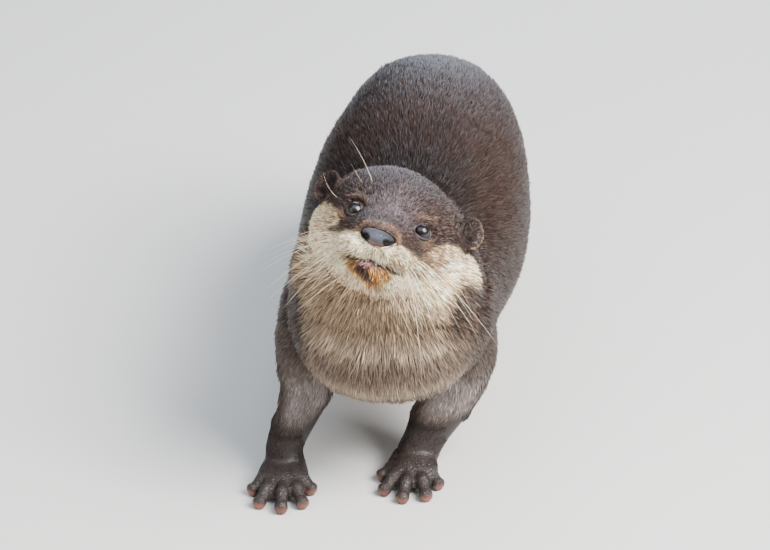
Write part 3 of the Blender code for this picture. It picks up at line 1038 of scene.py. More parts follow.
# ------------------------------------------------------------------ the skin
@dataclass
class Skin:
    """One skin over the whole animal, below the coat by the coat's own depth."""

    voxel: float = 1.0
    triangles: int = 188000
    lean: float = 0.19
    cleft_depth: float = 0.7
    nose_seat: float = 5.0
    surface: Surface = field(init=False)
    places: Places = field(init=False)

    def head_loft(self, stations: Rows) -> Surface:
        """A loft along the head's axis, whose sections stand square to it.

        Behind the eyes the crown is lower on the left, by a share of its height that is largest at
        the widest point.

        Args:
            stations: Rows of f, half width, and the top, the widest line and the bottom as u.

        Returns:
            The closed tube.
        """
        rows = spline(stations, 8)
        forward, left, up = HEAD.axes()
        centres = HEAD.centre() + rows[:, :1] * forward + rows[:, 3:4] * up
        across, rise = superellipse(rows[:, 1], rows[:, 2] - rows[:, 3], rows[:, 3] - rows[:, 4], 2.15, 64)
        lean = self.lean * ramp(-38, -66, rows[:, :1]) * np.maximum(across / rows[:, 1:2], 0)
        rise = rise * (1 - lean * (rise > 0))
        return Surface.tube(centres[:, None] + across[..., None] * left + rise[..., None] * up)

    def forms(self) -> Surface:
        """Every loft and ball of the body, not yet melted together.

        Returns:
            The forms as one surface.
        """
        parts = [body_loft(TRUNK, count=64), body_loft(NECK, (0, 0.8, 0.6))]
        parts += [self.head_loft(SKULL), self.head_loft(JAW)]
        axes = HEAD.axes()[[1, 0, 2]]
        for side in Side:
            parts.append(ellipsoid(on_side((-9.5, 10.5, -7.6), side), axes, (10.4, 11.0, 6.8)))
            parts.append(ellipsoid(on_side((-35.0, 19.5, 14.5), side), axes, (7.5, 10.0, 4.6)))
        parts += [ear.surface() for ear in EARS]
        parts += [ellipsoid(np.array(middle), np.eye(3), radii) for middle, radii in NAPE]
        for limb in LIMBS:
            parts += limb.surfaces()
        return Surface.join(parts)

    def melted(self) -> Surface:
        """The forms fused by voxels, softened, and thinned to the wanted number of triangles.

        Returns:
            One closed skin.
        """
        fused = modified("forms", self.forms().mesh("forms"),
                         ("REMESH", {"mode": "VOXEL", "voxel_size": self.voxel}),
                         ("SMOOTH", {"factor": 0.5, "iterations": 7}))
        fused.calc_loop_triangles()
        ratio = min(1.0, self.triangles / len(fused.loop_triangles))
        mesh = modified("fused", fused, ("DECIMATE", {"ratio": ratio}))
        surface = Surface.read(mesh)
        bpy.data.meshes.remove(mesh)
        return surface

    def build(self) -> None:
        """Melt the forms, sink them by the coat's depth and work in the ears, eyes and mouth."""
        raw = self.melted()
        places = Places(raw.points, raw.normals())
        f, s, u = places.head.T
        cleft = bell(0, 0.7, s) * ramp(-5, -6.5, u) * ramp(MOUTH.middle - 0.3, MOUTH.middle + 0.6, u)
        cleft *= ramp(-14, -9, f)
        points = raw.points - places.normals * Coat.depth(places)[:, None]
        carved = MOUTH.depth * MOUTH.nearness(places.head) + self.cleft_depth * cleft
        points -= places.normals * carved[:, None]
        points -= HEAD.axes()[0] * (self.nose_seat * NOSE.cover(places.head))[:, None]
        for ear in EARS:
            points = ear.hollow(points)
        for eye in EYES:
            points = eye.sink(points)
        points[:, 2] = np.where(raw.points[:, 2] < 0.6, 0.0, np.maximum(points[:, 2], 0.0))
        self.surface = Surface(points, raw.faces)
        self.places = Places(points, self.surface.normals())

    def dress(self) -> None:
        """Put the skin in the scene with its markings and its material."""
        p = self.places
        bare = np.clip(p.feet_share, 0, 1) * ramp(20, 11, p.points[:, 2])
        piece = smooth_piece("skin", self.surface, SkinFinish(), Markings(p).skin(), {"bare": bare})
        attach(piece, "root")
        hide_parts(*FLESH_NODES)


# ------------------------------------------------------------------ markings
def srgb(red: float, green: float, blue: float) -> Array:
    """A colour given as 0 to 255 for a screen, as the linear light that a material takes."""
    value = np.array([red, green, blue]) / 255.0
    return np.where(value <= 0.04045, value / 12.92, ((value + 0.055) / 1.055) ** 2.4)


class Tone:
    """The animal's colours as linear light, among them painted sheens, a painted highlight and painted
    shade.
    """

    BACK = srgb(47, 34, 29)
    # Painted shade: the nape behind the raised head, darker than the back.
    NAPE = srgb(22, 14, 12)
    # Painted sheen: a cool grey for the top of the rump.
    PAINTED_RUMP_SHEEN = srgb(56, 49, 50)
    CROWN = srgb(44, 31, 28)
    # Partly grizzled hair, partly a painted highlight on the forehead and bridge.
    BROW_GREY_AND_HIGHLIGHT = srgb(80, 69, 72)
    FLANK = srgb(62, 48, 41)
    CHEEK = srgb(250, 220, 180)
    PAD = srgb(255, 232, 190)
    # The throat's tan, darkened to hold painted shade under the chin.
    THROAT_AND_SHADE = srgb(142, 120, 95)
    CHEST = srgb(102, 85, 72)
    BAND = srgb(164, 145, 124)
    BELLY = srgb(88, 72, 58)
    STRIPE = srgb(46, 32, 27)
    TAN = srgb(128, 98, 74)
    STAIN = srgb(202, 126, 34)
    STAIN_CORE = srgb(44, 24, 12)
    LIP = srgb(176, 124, 128)
    MOUTH_LINE = srgb(46, 30, 28)
    LEG = srgb(78, 65, 60)
    # Painted sheen: a paler grey laid on the legs' forward faces.
    PAINTED_SHEEN = srgb(168, 157, 153)
    FOOT = srgb(42, 34, 32)
    TOE_TIP = srgb(150, 92, 78)
    EAR_INSIDE = srgb(30, 22, 20)
    EAR_RIM = srgb(196, 168, 136)
    MUZZLE_PATCH = srgb(94, 68, 54)
    HAIR_TIP = srgb(206, 194, 182)
    EYE_RING = srgb(66, 52, 47)
    LID = srgb(40, 30, 28)
    LID_OUTSIDE = srgb(84, 64, 56)
    # Painted shine: a blue-grey highlight on the nose and a reflection on the lower lids.
    PAINTED_SHINE = srgb(92, 96, 112)
    NOSE = srgb(40, 38, 43)
    NOSE_PINK = srgb(142, 102, 106)


# Where the pale front gives way to the flank: heights, and the y of the edge at each.
FRONT_EDGE = ([60, 85, 110, 135, 160, 190], [-24, -16, -8, 2, 6, 6])
# The lower edge of the dark crown: distances to the side, and the height at each.
CROWN_EDGE = ([0, 6, 9, 12, 16, 20, 23, 26, 28, 36, 48],
              [3, 1.5, 0, -0.8, -1.6, -2.2, -1.5, 3, 5.5, 7.5, 9.5])


@dataclass(frozen=True)
class Markings:
    """The colours of coat and skin at some places, as linear colours in one row for each."""

    p: Places

    def body(self) -> Array:
        """Trunk, neck, legs and tail: dark above, pale on throat and belly, with painted shade on the nape,
        a painted grey sheen on the rump's top and a painted sheen on the legs' fronts.

        Returns:
            One row for each place.
        """
        p = self.p
        x, y, z = p.points.T
        down, ahead = p.normals[:, 2], -p.normals[:, 1]
        edge = 12 + 3.5 * p.noise(11, 3)
        reach = np.interp(z, *FRONT_EDGE)
        front = ramp(reach + edge, reach - edge, y) * ramp(50, 41, np.abs(x - 2.5) + 2 * p.noise(8, 6))
        chest = layered(Tone.CHEST, (
            (Tone.BAND, 0.75 * bell(119, 6.5, z + 2 * p.noise(14, 5))),
            (Tone.BAND, 0.55 * bell(88, 7, z)),
            # The throat tone here includes painted shade from under the chin.
            (Tone.THROAT_AND_SHADE, ramp(112, 146, z + 2.5 * p.noise(9, 4)))))
        colour = layered(Tone.BACK, (
            # Painted sheen: greyer over the top of the rump.
            (Tone.PAINTED_RUMP_SHEEN, 0.8 * (ramp(120, 215, y) * ramp(140, 182, z))),
            # Painted shade on the nape just behind and below the head.
            (Tone.NAPE, ramp(125, 45, y) * ramp(128, 150, z) * ramp(75, 35, np.abs(x + 5))),
            (Tone.FLANK, 0.8 * ramp(118, 88, z)),
            (Tone.BELLY, ramp(-0.25, -0.8, down) * ramp(30, 48, z) * ramp(270, 235, y)),
            (chest, front)))
        for share in p.leg_share:
            # Painted sheen: paler where a leg faces forward, between 30 and 105 mm up.
            painted_sheen = ramp(0.35, 0.95, ahead) * ramp(30, 50, z) * ramp(105, 85, z)
            colour = layered(colour, (
                (Tone.LEG, 0.85 * share), (Tone.PAINTED_SHEEN, 0.6 * share * painted_sheen),
                (Tone.FOOT, 0.9 * share * ramp(46, 20, z))))
        return colour

    @cached_property
    def dark_top(self) -> Array:
        """1 on the dark crown and bridge of the head, above a line from the nose past the eye.

        Returns:
            The share of each place.
        """
        f, s, u = self.p.head.T
        line = np.interp(np.abs(s), *CROWN_EDGE) + 0.8 * self.p.noise(4, 7)
        line = line - 44 * ramp(-64, -88, f) - 2.6 * bell(25.5, 4.5, s)
        return ramp(-2.6, 2.6, u - line)

    def stripe(self, start: tuple[float, float], end: tuple[float, float], width: Array | float,
               soft: float) -> Array:
        """1 inside a stripe on the front of the head, the same on both sides.

        The distance is that from (|s|, u) to the segment from start to end.

        Args:
            start: One end as |s| and u.
            end: The other end.
            width: Half width.
            soft: Half width of its edge.

        Returns:
            The share of each place.
        """
        f, s, u = self.p.head.T
        spot, a, b = np.stack([np.abs(s), u], axis=1), np.asarray(start), np.asarray(end)
        share = np.clip(((spot - a) @ (b - a)) / ((b - a) @ (b - a)), 0.0, 1.0)
        gap = np.linalg.norm(spot - a - share[:, None] * (b - a), axis=1)
        return ramp(width + soft, width - soft, gap) * ramp(-60, -48, f)

    def chin(self, wander: Array) -> tuple[Array, Array]:
        """The stain on the chin and its dark middle, with an edge that wanders.

        Args:
            wander: How far the edge wanders at each place.

        Returns:
            The shares of the stain and of its middle.
        """
        f, s, u = self.p.head.T
        bottom = -25.5 + 0.55 * np.abs(s - 2) + wander
        chin = ramp(13.5, 9.5, np.abs(s - 0.5) + wander) * ramp(bottom - 1.5, bottom + 1.5, u)
        chin = chin * ramp(-14.4, -16.2, u) * ramp(-26, -16, f)
        core = bell(0, 3.4, (s + 1.8) * 0.66 + (u + 17.8) * 0.75 + 0.8 * wander)
        core = core * bell(-18.6, 5.2, u) * ramp(-40, -30, f)
        return chin * np.clip(0.85 + 0.4 * self.p.noise(2, 44), 0, 1), np.clip(1.3 * core, 0, 1)

    def face(self) -> Array:
        """The head: dark crown, a dark stripe under each eye, pale cheeks and cream whisker pads.

        Returns:
            One row for each place.
        """
        p = self.p
        f, s, u = p.head.T
        a = np.abs(s)
        wander = 1.3 * p.noise(3, 9)
        mottle = ramp(0, 0.7, p.noise(2.2, 41) + 0.5 * p.noise(6, 42))
        near_eye = ramp(-10, 2, u) * ramp(40, 28, a)
        bristle = ramp(0.1, 0.6, value_noise(p.points * (1.0, 1.0, 0.45), 1.3, 45))
        chin, core = self.chin(wander)
        pale = layered(Tone.CHEEK, (
            (Tone.PAD, ramp(25, 17, a) * ramp(-26, -18, f)),
            # Under the jaw: the throat tone, which holds painted shade under the chin.
            (Tone.THROAT_AND_SHADE, ramp(-17, -36, u + 3.5 * p.noise(7, 46))),
            (Tone.TAN, (0.38 + 0.42 * near_eye) * mottle * ramp(-20, -28, f)),
            (Tone.TAN, 0.55 * bristle * ramp(-26, -20, f) * (u < -4)),
            (Tone.FLANK, ramp(39.5, 46.5, a + 1.5 * p.noise(7, 43)) * ramp(-1, -13, u)),
            (Tone.STAIN, chin), (Tone.STAIN_CORE, core), (Tone.LIP, 0.85 * MOUTH.lip(p.head))))
        dark = layered(Tone.CROWN, (
            (Tone.BACK, 0.8 * ramp(-52, -78, f)),
            # Greyer forehead and bridge: partly grizzled hair, partly a painted highlight.
            (Tone.BROW_GREY_AND_HIGHLIGHT, 0.7 * (bell(-26, 16, f) * bell(0, 13, s))),
            (Tone.STRIPE * 0.85, 0.6 * (ramp(22, 34, a + 3 * p.noise(8, 47)) * ramp(-78, -62, f))),
            (Tone.STRIPE, 0.6 * ramp(14, 4, a) * ramp(-22, -8, f))))
        tan = np.maximum(self.stripe((23.5, 5.0), (31.0, 2.0), 2.4, 2.2) * 0.45,
                         self.stripe((15.0, 17.0), (22.0, 18.0), 1.4, 2.0) * 0.28)
        rim = bell(11, 1.2, np.hypot(s, 1.4 * (u - 0.5))) * ramp(-10, -6, f) * (u > 1)
        return layered(mixed(pale, dark, self.dark_top), (
            (Tone.TAN * 0.9, tan),
            (Tone.STRIPE, self.stripe((15.0, 4.0), (26.0, -4.0), 2.8 + 0.5 * wander, 1.7) * 0.9),
            (Tone.MUZZLE_PATCH, 0.6 * (bell(0, 6, s) * bell(5.6, 2, u) * ramp(-14, -7, f))),
            (Tone.TAN, 0.5 * rim)))

    def pepper(self) -> Array:
        """Share of brown hairs among the pale ones: most beside the left pad and round the lips.

        Returns:
            The share at each place.
        """
        f, s, u = self.p.head.T
        cloud = np.clip(1 + 1.4 * self.p.noise(3.5, 48), 0, 2)
        left = ramp(5, 11, s) * ramp(40, 26, s) * ramp(-17, -10, u)
        lips = bell(-12.5, 3.5, u) * ramp(3, 9, np.abs(s)) * ramp(-34, -26, f)
        cheek = ramp(-26, -34, f) * ramp(-12, 2, u)
        share = 0.10 + 0.58 * left + 0.38 * lips + 0.25 * cheek
        return np.clip(share * cloud, 0, 0.8) * (1 - self.dark_top) * self.p.head_share

    def coat(self) -> Array:
        """Colour of the coat: body, face and ears, with a soft unevenness over all.

        Returns:
            One row for each place.
        """
        p = self.p
        out = np.abs(p.head[:, 1])
        ear = layered(Tone.EAR_INSIDE, (
            (Tone.CROWN * 1.15, np.maximum(ramp(0.45, 0.8, p.ear_reach), ramp(42, 47, out))),
            (Tone.EAR_RIM, ramp(0.72, 0.95, p.ear_reach) * 0.8 * ramp(44.5, 48.5, out))))
        colour = layered(self.body(), (
            (self.face(), p.head_share), (ear, p.on_ear), (Tone.FOOT, ramp(0.05, 0.6, p.feet_share))))
        cloud = 1 + 0.07 * p.noise(16, 11) + 0.06 * p.noise(5, 12)
        return colour * cloud[:, None]

    def skin(self) -> Array:
        """Colour of the skin: the coat's own, a little darker, with lips, toe tips and eye rims.

        Returns:
            One row for each place.
        """
        p = self.p
        salmon = ramp(0.92, 1.12, p.toe_share) * ramp(6.5, 3, p.points[:, 2]) * (0.6 + 0.4 * p.noise(9, 15))
        colour = layered(self.coat() * (0.86 - 0.3 * p.head_share)[:, None], (
            (Tone.LIP, np.clip(1.2 * MOUTH.lip(p.head), 0, 1)),
            (Tone.MOUTH_LINE, np.clip(MOUTH.nearness(p.head) * 1.3, 0, 1)),
            (Tone.FOOT, ramp(0.1, 0.5, p.feet_share)), (Tone.TOE_TIP, np.clip(salmon, 0, 1))))
        for eye in EYES:
            local = eye.local(p.points)
            ring = (polar(local)[0] < 6.5) & (local[:, 2] > 0)
            colour = np.where(ring[:, None], Tone.EYE_RING, colour)
        return colour


# ------------------------------------------------------------------ the coat
@dataclass(frozen=True)
class Region:
    """One piece of the coat, with the unwrap that its tufts are laid out on."""

    name: str
    head: bool = False
    leg: int | None = None
    slot: str = "fur_brown"


REGIONS = (
    Region("coat_face_right", head=True), Region("coat_face_left", head=True),
    Region("coat_crown_right", head=True), Region("coat_crown_left", head=True),
    Region("coat_throat", slot="fur_pale"), Region("coat_shoulders"),
    Region("coat_back"), Region("coat_rump"),
    Region("coat_fore_leg_right", leg=0), Region("coat_fore_leg_left", leg=1),
    Region("coat_hind_leg_right", leg=2), Region("coat_hind_leg_left", leg=3),
    Region("coat_tail"),
)


def laid_flat(ways: Array, normals: Array) -> Array:
    """Ways with what points along the normals taken out."""
    return ways - normals * np.sum(ways * normals, axis=1, keepdims=True)


def toward(first: Array, second: Array, angle: Array) -> Array:
    """first turned towards second by an angle: first cos + second sin."""
    return first * np.cos(angle)[:, None] + second * np.sin(angle)[:, None]


@dataclass
class Coat:
    """Tufts over the skin: thin closed leaves, each with a raised middle, that lie along the body."""

    skin: Skin
    tufts: int = 358000
    seed: int = 12
    root_depth: float = 0.25
    middle_at: float = 0.40
    middle_rise: float = 0.12
    floor_gap: float = 0.15
    patch: float = 0.0015

    @staticmethod
    def depth(p: Places) -> Array:
        """How far the skin lies inside the coat's outline.

        Args:
            p: The places.

        Returns:
            The depth at each.
        """
        _, y, z = p.points.T
        depth = 2.1 + 1.1 * ramp(20, -20, y) * ramp(70, 110, z)
        depth = blend(depth, 0.7 + 0.7 * ramp(-20, -48, p.head[:, 0]), p.head_share)
        for (share, _, _), leg in zip(p.legs, p.leg_share):
            depth = depth + (0.9 - depth) * leg * ramp(0.4, 0.75, share)
        depth = blend(depth, 0.2, ramp(0.02, 0.4, p.feet_share))
        return np.where(p.on_ear, 0.35, depth) * ramp(545, 520, y)

    def length(self, p: Places) -> Array:
        """Length of a hair: long on throat and body, short on the face, shortest on feet and ears.

        Args:
            p: The places.

        Returns:
            The length at each.
        """
        f, s, u = p.head.T
        _, y, z = p.points.T
        length = 7.6 + 1.6 * ramp(20, -20, y) * ramp(70, 110, z) - 1.4 * ramp(300, 340, y)
        cheek = ramp(16, 36, np.abs(s)) * ramp(8, -4, u)
        head = 2.5 + 1.9 * ramp(-16, -50, f) + 1.2 * ramp(-50, -90, f)
        head = head + 2.2 * np.maximum(cheek, ramp(-14, -32, u)) * ramp(-8, -30, f)
        pads = ramp(-26, -20, f) * ramp(-3, -6, u)
        chin = ramp(-15.5, -19, u) * ramp(16, 9, np.abs(s)) * (f > -30)
        length = blend(length, head + 1.0 * pads + 1.6 * chin, p.head_share)
        for (share, _, _), leg in zip(p.legs, p.leg_share):
            length = blend(length, 5.6 - 2.6 * ramp(0.35, 0.8, share), leg)
        length = blend(length, 1.7, ramp(0.05, 0.8, p.feet_share))
        return np.where(p.on_ear, 1.7, length)

    @staticmethod
    def width(length: Array, head: Array) -> Array:
        """Width of a tuft for its length, a little more on the head."""
        return 0.17 + 0.040 * length + 0.07 * head

    def lift(self, p: Places) -> Array:
        """How far a hair stands from the skin, in degrees.

        Args:
            p: The places.

        Returns:
            The angle at each.
        """
        f, _, u = p.head.T
        _, y, z = p.points.T
        lift = 11 + 6 * ramp(15, -25, y) * ramp(80, 110, z) + 3 * p.head_share
        lift = lift + 9 * ramp(-3, -7, u) * ramp(-28, -20, f)
        lift = lift + 9 * ramp(14, 24, u) * ramp(-40, -60, f) * p.head_share
        return lift + 5 * p.noise(7, 21)

    def flow(self, evenings: int = 12) -> Array:
        """The way the hair lies at every vertex of the skin.

        It runs away from the nose over head and body and along each limb below the elbow or knee,
        laid flat on the skin and evened out along the mesh's edges.

        Args:
            evenings: How many times it is evened out.

        Returns:
            Directions of length one.
        """
        p = self.skin.places
        flow = unit(p.points - HEAD.point(2.0, 0.0, 3.0))
        flow[:, 1] += 0.5 * ramp(60, 120, p.points[:, 1])
        flow = unit(flow)
        for (_, _, down), leg in zip(p.legs, p.leg_share):
            flow = unit(mixed(flow, down, 0.92 * leg))
        for limb, foot in zip(LIMBS, p.foot_share):
            flow = unit(mixed(flow, limb.foot.forward(), foot))
        for ear in EARS:
            a, b, c = ear.local(p.points).T
            here = (np.hypot(a, b) < 13) & (np.abs(c) < 7)
            out = np.stack([a, b, np.zeros_like(a)], axis=1) @ ear.axes()
            flow = np.where(here[:, None], unit(out), flow)
        for eye in EYES:
            local = eye.local(p.points)
            out = unit(local[:, :2] @ eye.axes()[:2])
            share = 0.75 * bell(5, 3, polar(local)[0]) * (local[:, 2] > -1)
            flow = unit(mixed(flow, out, share))
        faces = self.skin.surface.faces[0]
        ends = np.concatenate([faces[:, [0, 1]], faces[:, [1, 2]], faces[:, [2, 0]]])
        for _ in range(evenings):
            flow = unit(laid_flat(flow, p.normals))
            total = flow * 1.5
            for axis in range(3):
                total[:, axis] += np.bincount(ends[:, 0], flow[ends[:, 1], axis], len(flow))
                total[:, axis] += np.bincount(ends[:, 1], flow[ends[:, 0], axis], len(flow))
            flow = unit(total)
        return unit(laid_flat(flow, p.normals))

    def keep(self, p: Places) -> Array:
        """0 where no hair grows: eyes, lids, lips, nose, toe tips and the flats that touch the floor.

        Args:
            p: The places.

        Returns:
            The share of the hair that grows at each.
        """
        keep = np.ones(len(p.points))
        for eye in EYES:
            local = eye.local(p.points)
            rho = np.hypot(local[:, 0], local[:, 1] * 1.1)
            keep *= np.where(local[:, 2] > -1, ramp(5.1, 5.7, rho), 1.0)
        keep *= 1 - ramp(0.12, 0.5, MOUTH.nearness(p.head))
        keep *= 1 - 0.85 * MOUTH.lip(p.head)
        keep *= 1 - NOSE.cover(p.head)
        keep *= 1 - 0.4 * ramp(0.3, 0.9, p.feet_share)
        keep *= ramp(0.55, 0.2, p.toe_share)
        return keep * ramp(0.4, 1.2, p.points[:, 2])

    def roots(self, rng: np.random.Generator) -> tuple[Array, Array]:
        """Where tufts stand: faces picked by area and by how many hairs their place needs.

        Args:
            rng: The seeded source of chance.

        Returns:
            The corners of each tuft's face, and the weight of each corner.
        """
        surface, p = self.skin.surface, self.skin.places
        faces = surface.faces[0]
        a, b, c = (surface.points[faces[:, k]] for k in range(3))
        area = 0.5 * np.linalg.norm(np.cross(b - a, c - a), axis=1)
        length = self.length(p)
        need = 1.0 / (length * self.width(length, p.head_share))
        need = need * self.keep(p) * (1 + 0.35 * p.head_share)
        weight = area * need[faces].mean(axis=1)
        picked = rng.choice(len(faces), self.tufts, p=weight / weight.sum())
        first, second = rng.random(self.tufts), rng.random(self.tufts)
        flip = first + second > 1.0
        first, second = np.where(flip, 1 - first, first), np.where(flip, 1 - second, second)
        return faces[picked], np.stack([1 - first - second, first, second], axis=1)

    def region_of(self, p: Places) -> Array:
        """Index in REGIONS of the piece that each place belongs to.

        Args:
            p: The places.

        Returns:
            One index for each.
        """
        f, s, _ = p.head.T
        _, y, z = p.points.T
        head = p.head_share > 0.5
        legs = [leg > 0.5 for leg in p.leg_share]
        conditions = [
            head & (f > -38) & (s < 0), head & (f > -38), head & (s < 0), head,
            *legs, y > 285, (y < 12) & (z > 70), y < 92, y < 182,
        ]
        return np.select(conditions, [0, 1, 2, 3, 8, 9, 10, 11, 12, 4, 5, 6], 7)

    def unwrap(self, region: Region, p: Places) -> Array:
        """Places on a flat layout of one region, from 0 to 1 both ways.

        A head piece is laid out from the head's forward axis (angle from the axis by turn about
        it), a leg by the turn about its line and the share along it, the rest by the turn about
        the trunk's line and the distance along it.

        Args:
            region: The region.
            p: The places, all of that region.

        Returns:
            Two columns.
        """
        if region.head:
            local = unit(p.head - np.array([-58.0, 0.0, 2.0]))
            angle = np.arccos(np.clip(local[:, 0], -1, 1))
            turn = np.arctan2(local[:, 2], local[:, 1])
            flat = np.stack([angle * np.cos(turn), angle * np.sin(turn)], axis=1)
        elif region.leg is not None:
            share = p.legs[region.leg][0]
            line = LIMBS[region.leg].path()[:, :3]
            delta = p.points - line[(share * (len(line) - 1)).astype(int)]
            flat = np.stack([np.arctan2(delta[:, 0], -delta[:, 1]), share], axis=1)
        else:
            rows = np.asarray(TRUNK, float)
            x, y, z = p.points.T
            x, z = (v - np.interp(y, rows[:, 1], rows[:, k]) for v, k in ((x, 0), (z, 2)))
            flat = np.stack([np.arctan2(x, z), y - 0.5 * z * (y < 12)], axis=1)
        low, high = flat.min(axis=0), flat.max(axis=0)
        return 0.01 + 0.98 * (flat - low) / (high - low)

    def dress(self) -> None:
        """Grow every tuft, and make one piece for each region."""
        rng = np.random.default_rng(self.seed)
        skin = self.skin
        flow = self.flow()
        corners, weights = self.roots(rng)
        roots, normals, ways = (np.einsum("nk,nkc->nc", weights, values[corners])
                                for values in (skin.surface.points, skin.places.normals, flow))
        normals = unit(normals)
        belongs = self.region_of(skin.places)[corners[:, 0]]
        for index, region in enumerate(REGIONS):
            here = belongs == index
            self.grow(region, Places(roots[here], normals[here]), ways[here], rng)

    def grow(self, region: Region, p: Places, ways: Array, rng: np.random.Generator) -> None:
        """Make the piece of one region.

        A tuft is a leaf of four points: its root just under the skin, two edge points four tenths
        along and raised over the chord, and a tip that bends back towards the body.  It is shaded
        as part of the coat: its normals are the body's own, turned a little to either edge.

        Args:
            region: The region.
            p: The tufts' roots.
            ways: The way the hair lies at each root.
            rng: The seeded source of chance.
        """
        count, normal = len(p.points), p.normals
        way = unit(laid_flat(ways, normal))
        side = np.cross(normal, way)
        yaw = np.radians(6.0 * rng.standard_normal(count) + 8.0 * p.noise(6, 31))
        way, side = toward(way, side, yaw), toward(side, -way, yaw)
        length = self.length(p) * rng.uniform(0.7, 1.22, count)
        width = (self.width(length, p.head_share) * rng.uniform(0.8, 1.2, count))[:, None]
        lift = np.radians(np.maximum(self.lift(p) + 4.0 * rng.standard_normal(count), 3.0))
        first, last = toward(way, normal, lift * 1.5), toward(way, normal, lift * 0.6)
        size = length[:, None]
        root = p.points - normal * self.root_depth
        bend = root + first * size * self.middle_at
        middle = bend + normal * width * self.middle_rise
        half = side * width * 0.5
        tip = bend + last * size * (1 - self.middle_at)
        points = np.stack([root, middle + half, middle - half, tip], axis=1)
        points[..., 2] = np.maximum(points[..., 2], self.floor_gap)
        pattern = np.array([[0, 2, 1], [1, 2, 3], [0, 1, 3], [0, 3, 2]])
        triangles = (np.arange(count)[:, None, None] * 4 + pattern).reshape(-1, 3)
        rough = 0.2 + 0.16 * p.head_share
        tilt = normal + rough[:, None] * rng.standard_normal((count, 3))
        facing = np.stack([tilt, tilt + 0.55 * side, tilt - 0.55 * side, tilt + 0.2 * way], axis=1)
        piece = smooth_piece(region.name, Surface(points.reshape(-1, 3), [triangles]), FurFinish(),
                             self.colours(p, rng), facing=unit(facing.reshape(-1, 3)))
        self.lay_out(piece.data, self.unwrap(region, p), triangles)
        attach(piece, "root")

    def colours(self, p: Places, rng: np.random.Generator) -> Array:
        """Colours of each tuft's four points: the markings' at its root, darker below, paler above.

        Args:
            p: The tufts' roots.
            rng: The seeded source of chance.

        Returns:
            Linear colours, four rows for each tuft.
        """
        markings = Markings(p)
        colour, head = markings.coat(), p.head_share
        count = len(colour)
        brown = rng.random(count) < markings.pepper()
        colour = mixed(colour, Tone.TAN * 0.75, 0.8 * brown)
        light = ramp(0.15, 0.6, colour[:, 1])
        clumps = 1.2 * p.noise(1, 51) + 0.8 * p.noise(2.6, 52)
        spread = 0.28 + 0.10 * head + 0.14 * (head * (1 - light))
        shade = np.exp(spread * rng.standard_normal(count) + (0.20 + 0.20 * head) * clumps)
        pale = np.clip(rng.random(count) - 0.66, 0, 1) * 2.4 * self.grizzle(p)
        root = colour * ((0.6 - 0.15 * head + 0.25 * light) * shade)[:, None]
        middle = colour * shade[:, None]
        tip = mixed(colour * 1.25 * shade[:, None], np.maximum(Tone.HAIR_TIP, colour), pale * 0.5)
        rows = np.stack([root, middle, middle, tip], axis=1)
        return np.clip(rows.reshape(-1, 3), 0.002, 1.0)

    def grizzle(self, p: Places) -> Array:
        """How many hairs are pale at the tip: many on chest and throat, few on back and face.

        Args:
            p: The places.

        Returns:
            The share at each.
        """
        _, y, z = p.points.T
        chest = ramp(20, -20, y) * ramp(70, 90, z)
        share = 0.3 + 0.7 * chest * (1 - p.head_share) + 0.6 * p.head_share
        return share * ramp(0.3, 0, p.feet_share)

    def lay_out(self, mesh: bpy.types.Mesh, flat: Array, triangles: Array) -> None:
        """Give each tuft a small patch of the layout at its root's place.

        Args:
            mesh: The region's mesh.
            flat: The roots' places on the layout.
            triangles: The mesh's triangles.
        """
        patch = np.array([[0.0, -1.0], [-1.0, 0.0], [1.0, 0.0], [0.0, 1.0]]) * self.patch
        spots = np.clip(flat[:, None, :] + patch[None], 0.0, 1.0).reshape(-1, 2)
        layer = mesh.uv_layers.new(name="OFBake")
        layer.data.foreach_set("uv", spots[triangles.reshape(-1)].astype(np.float32).reshape(-1))


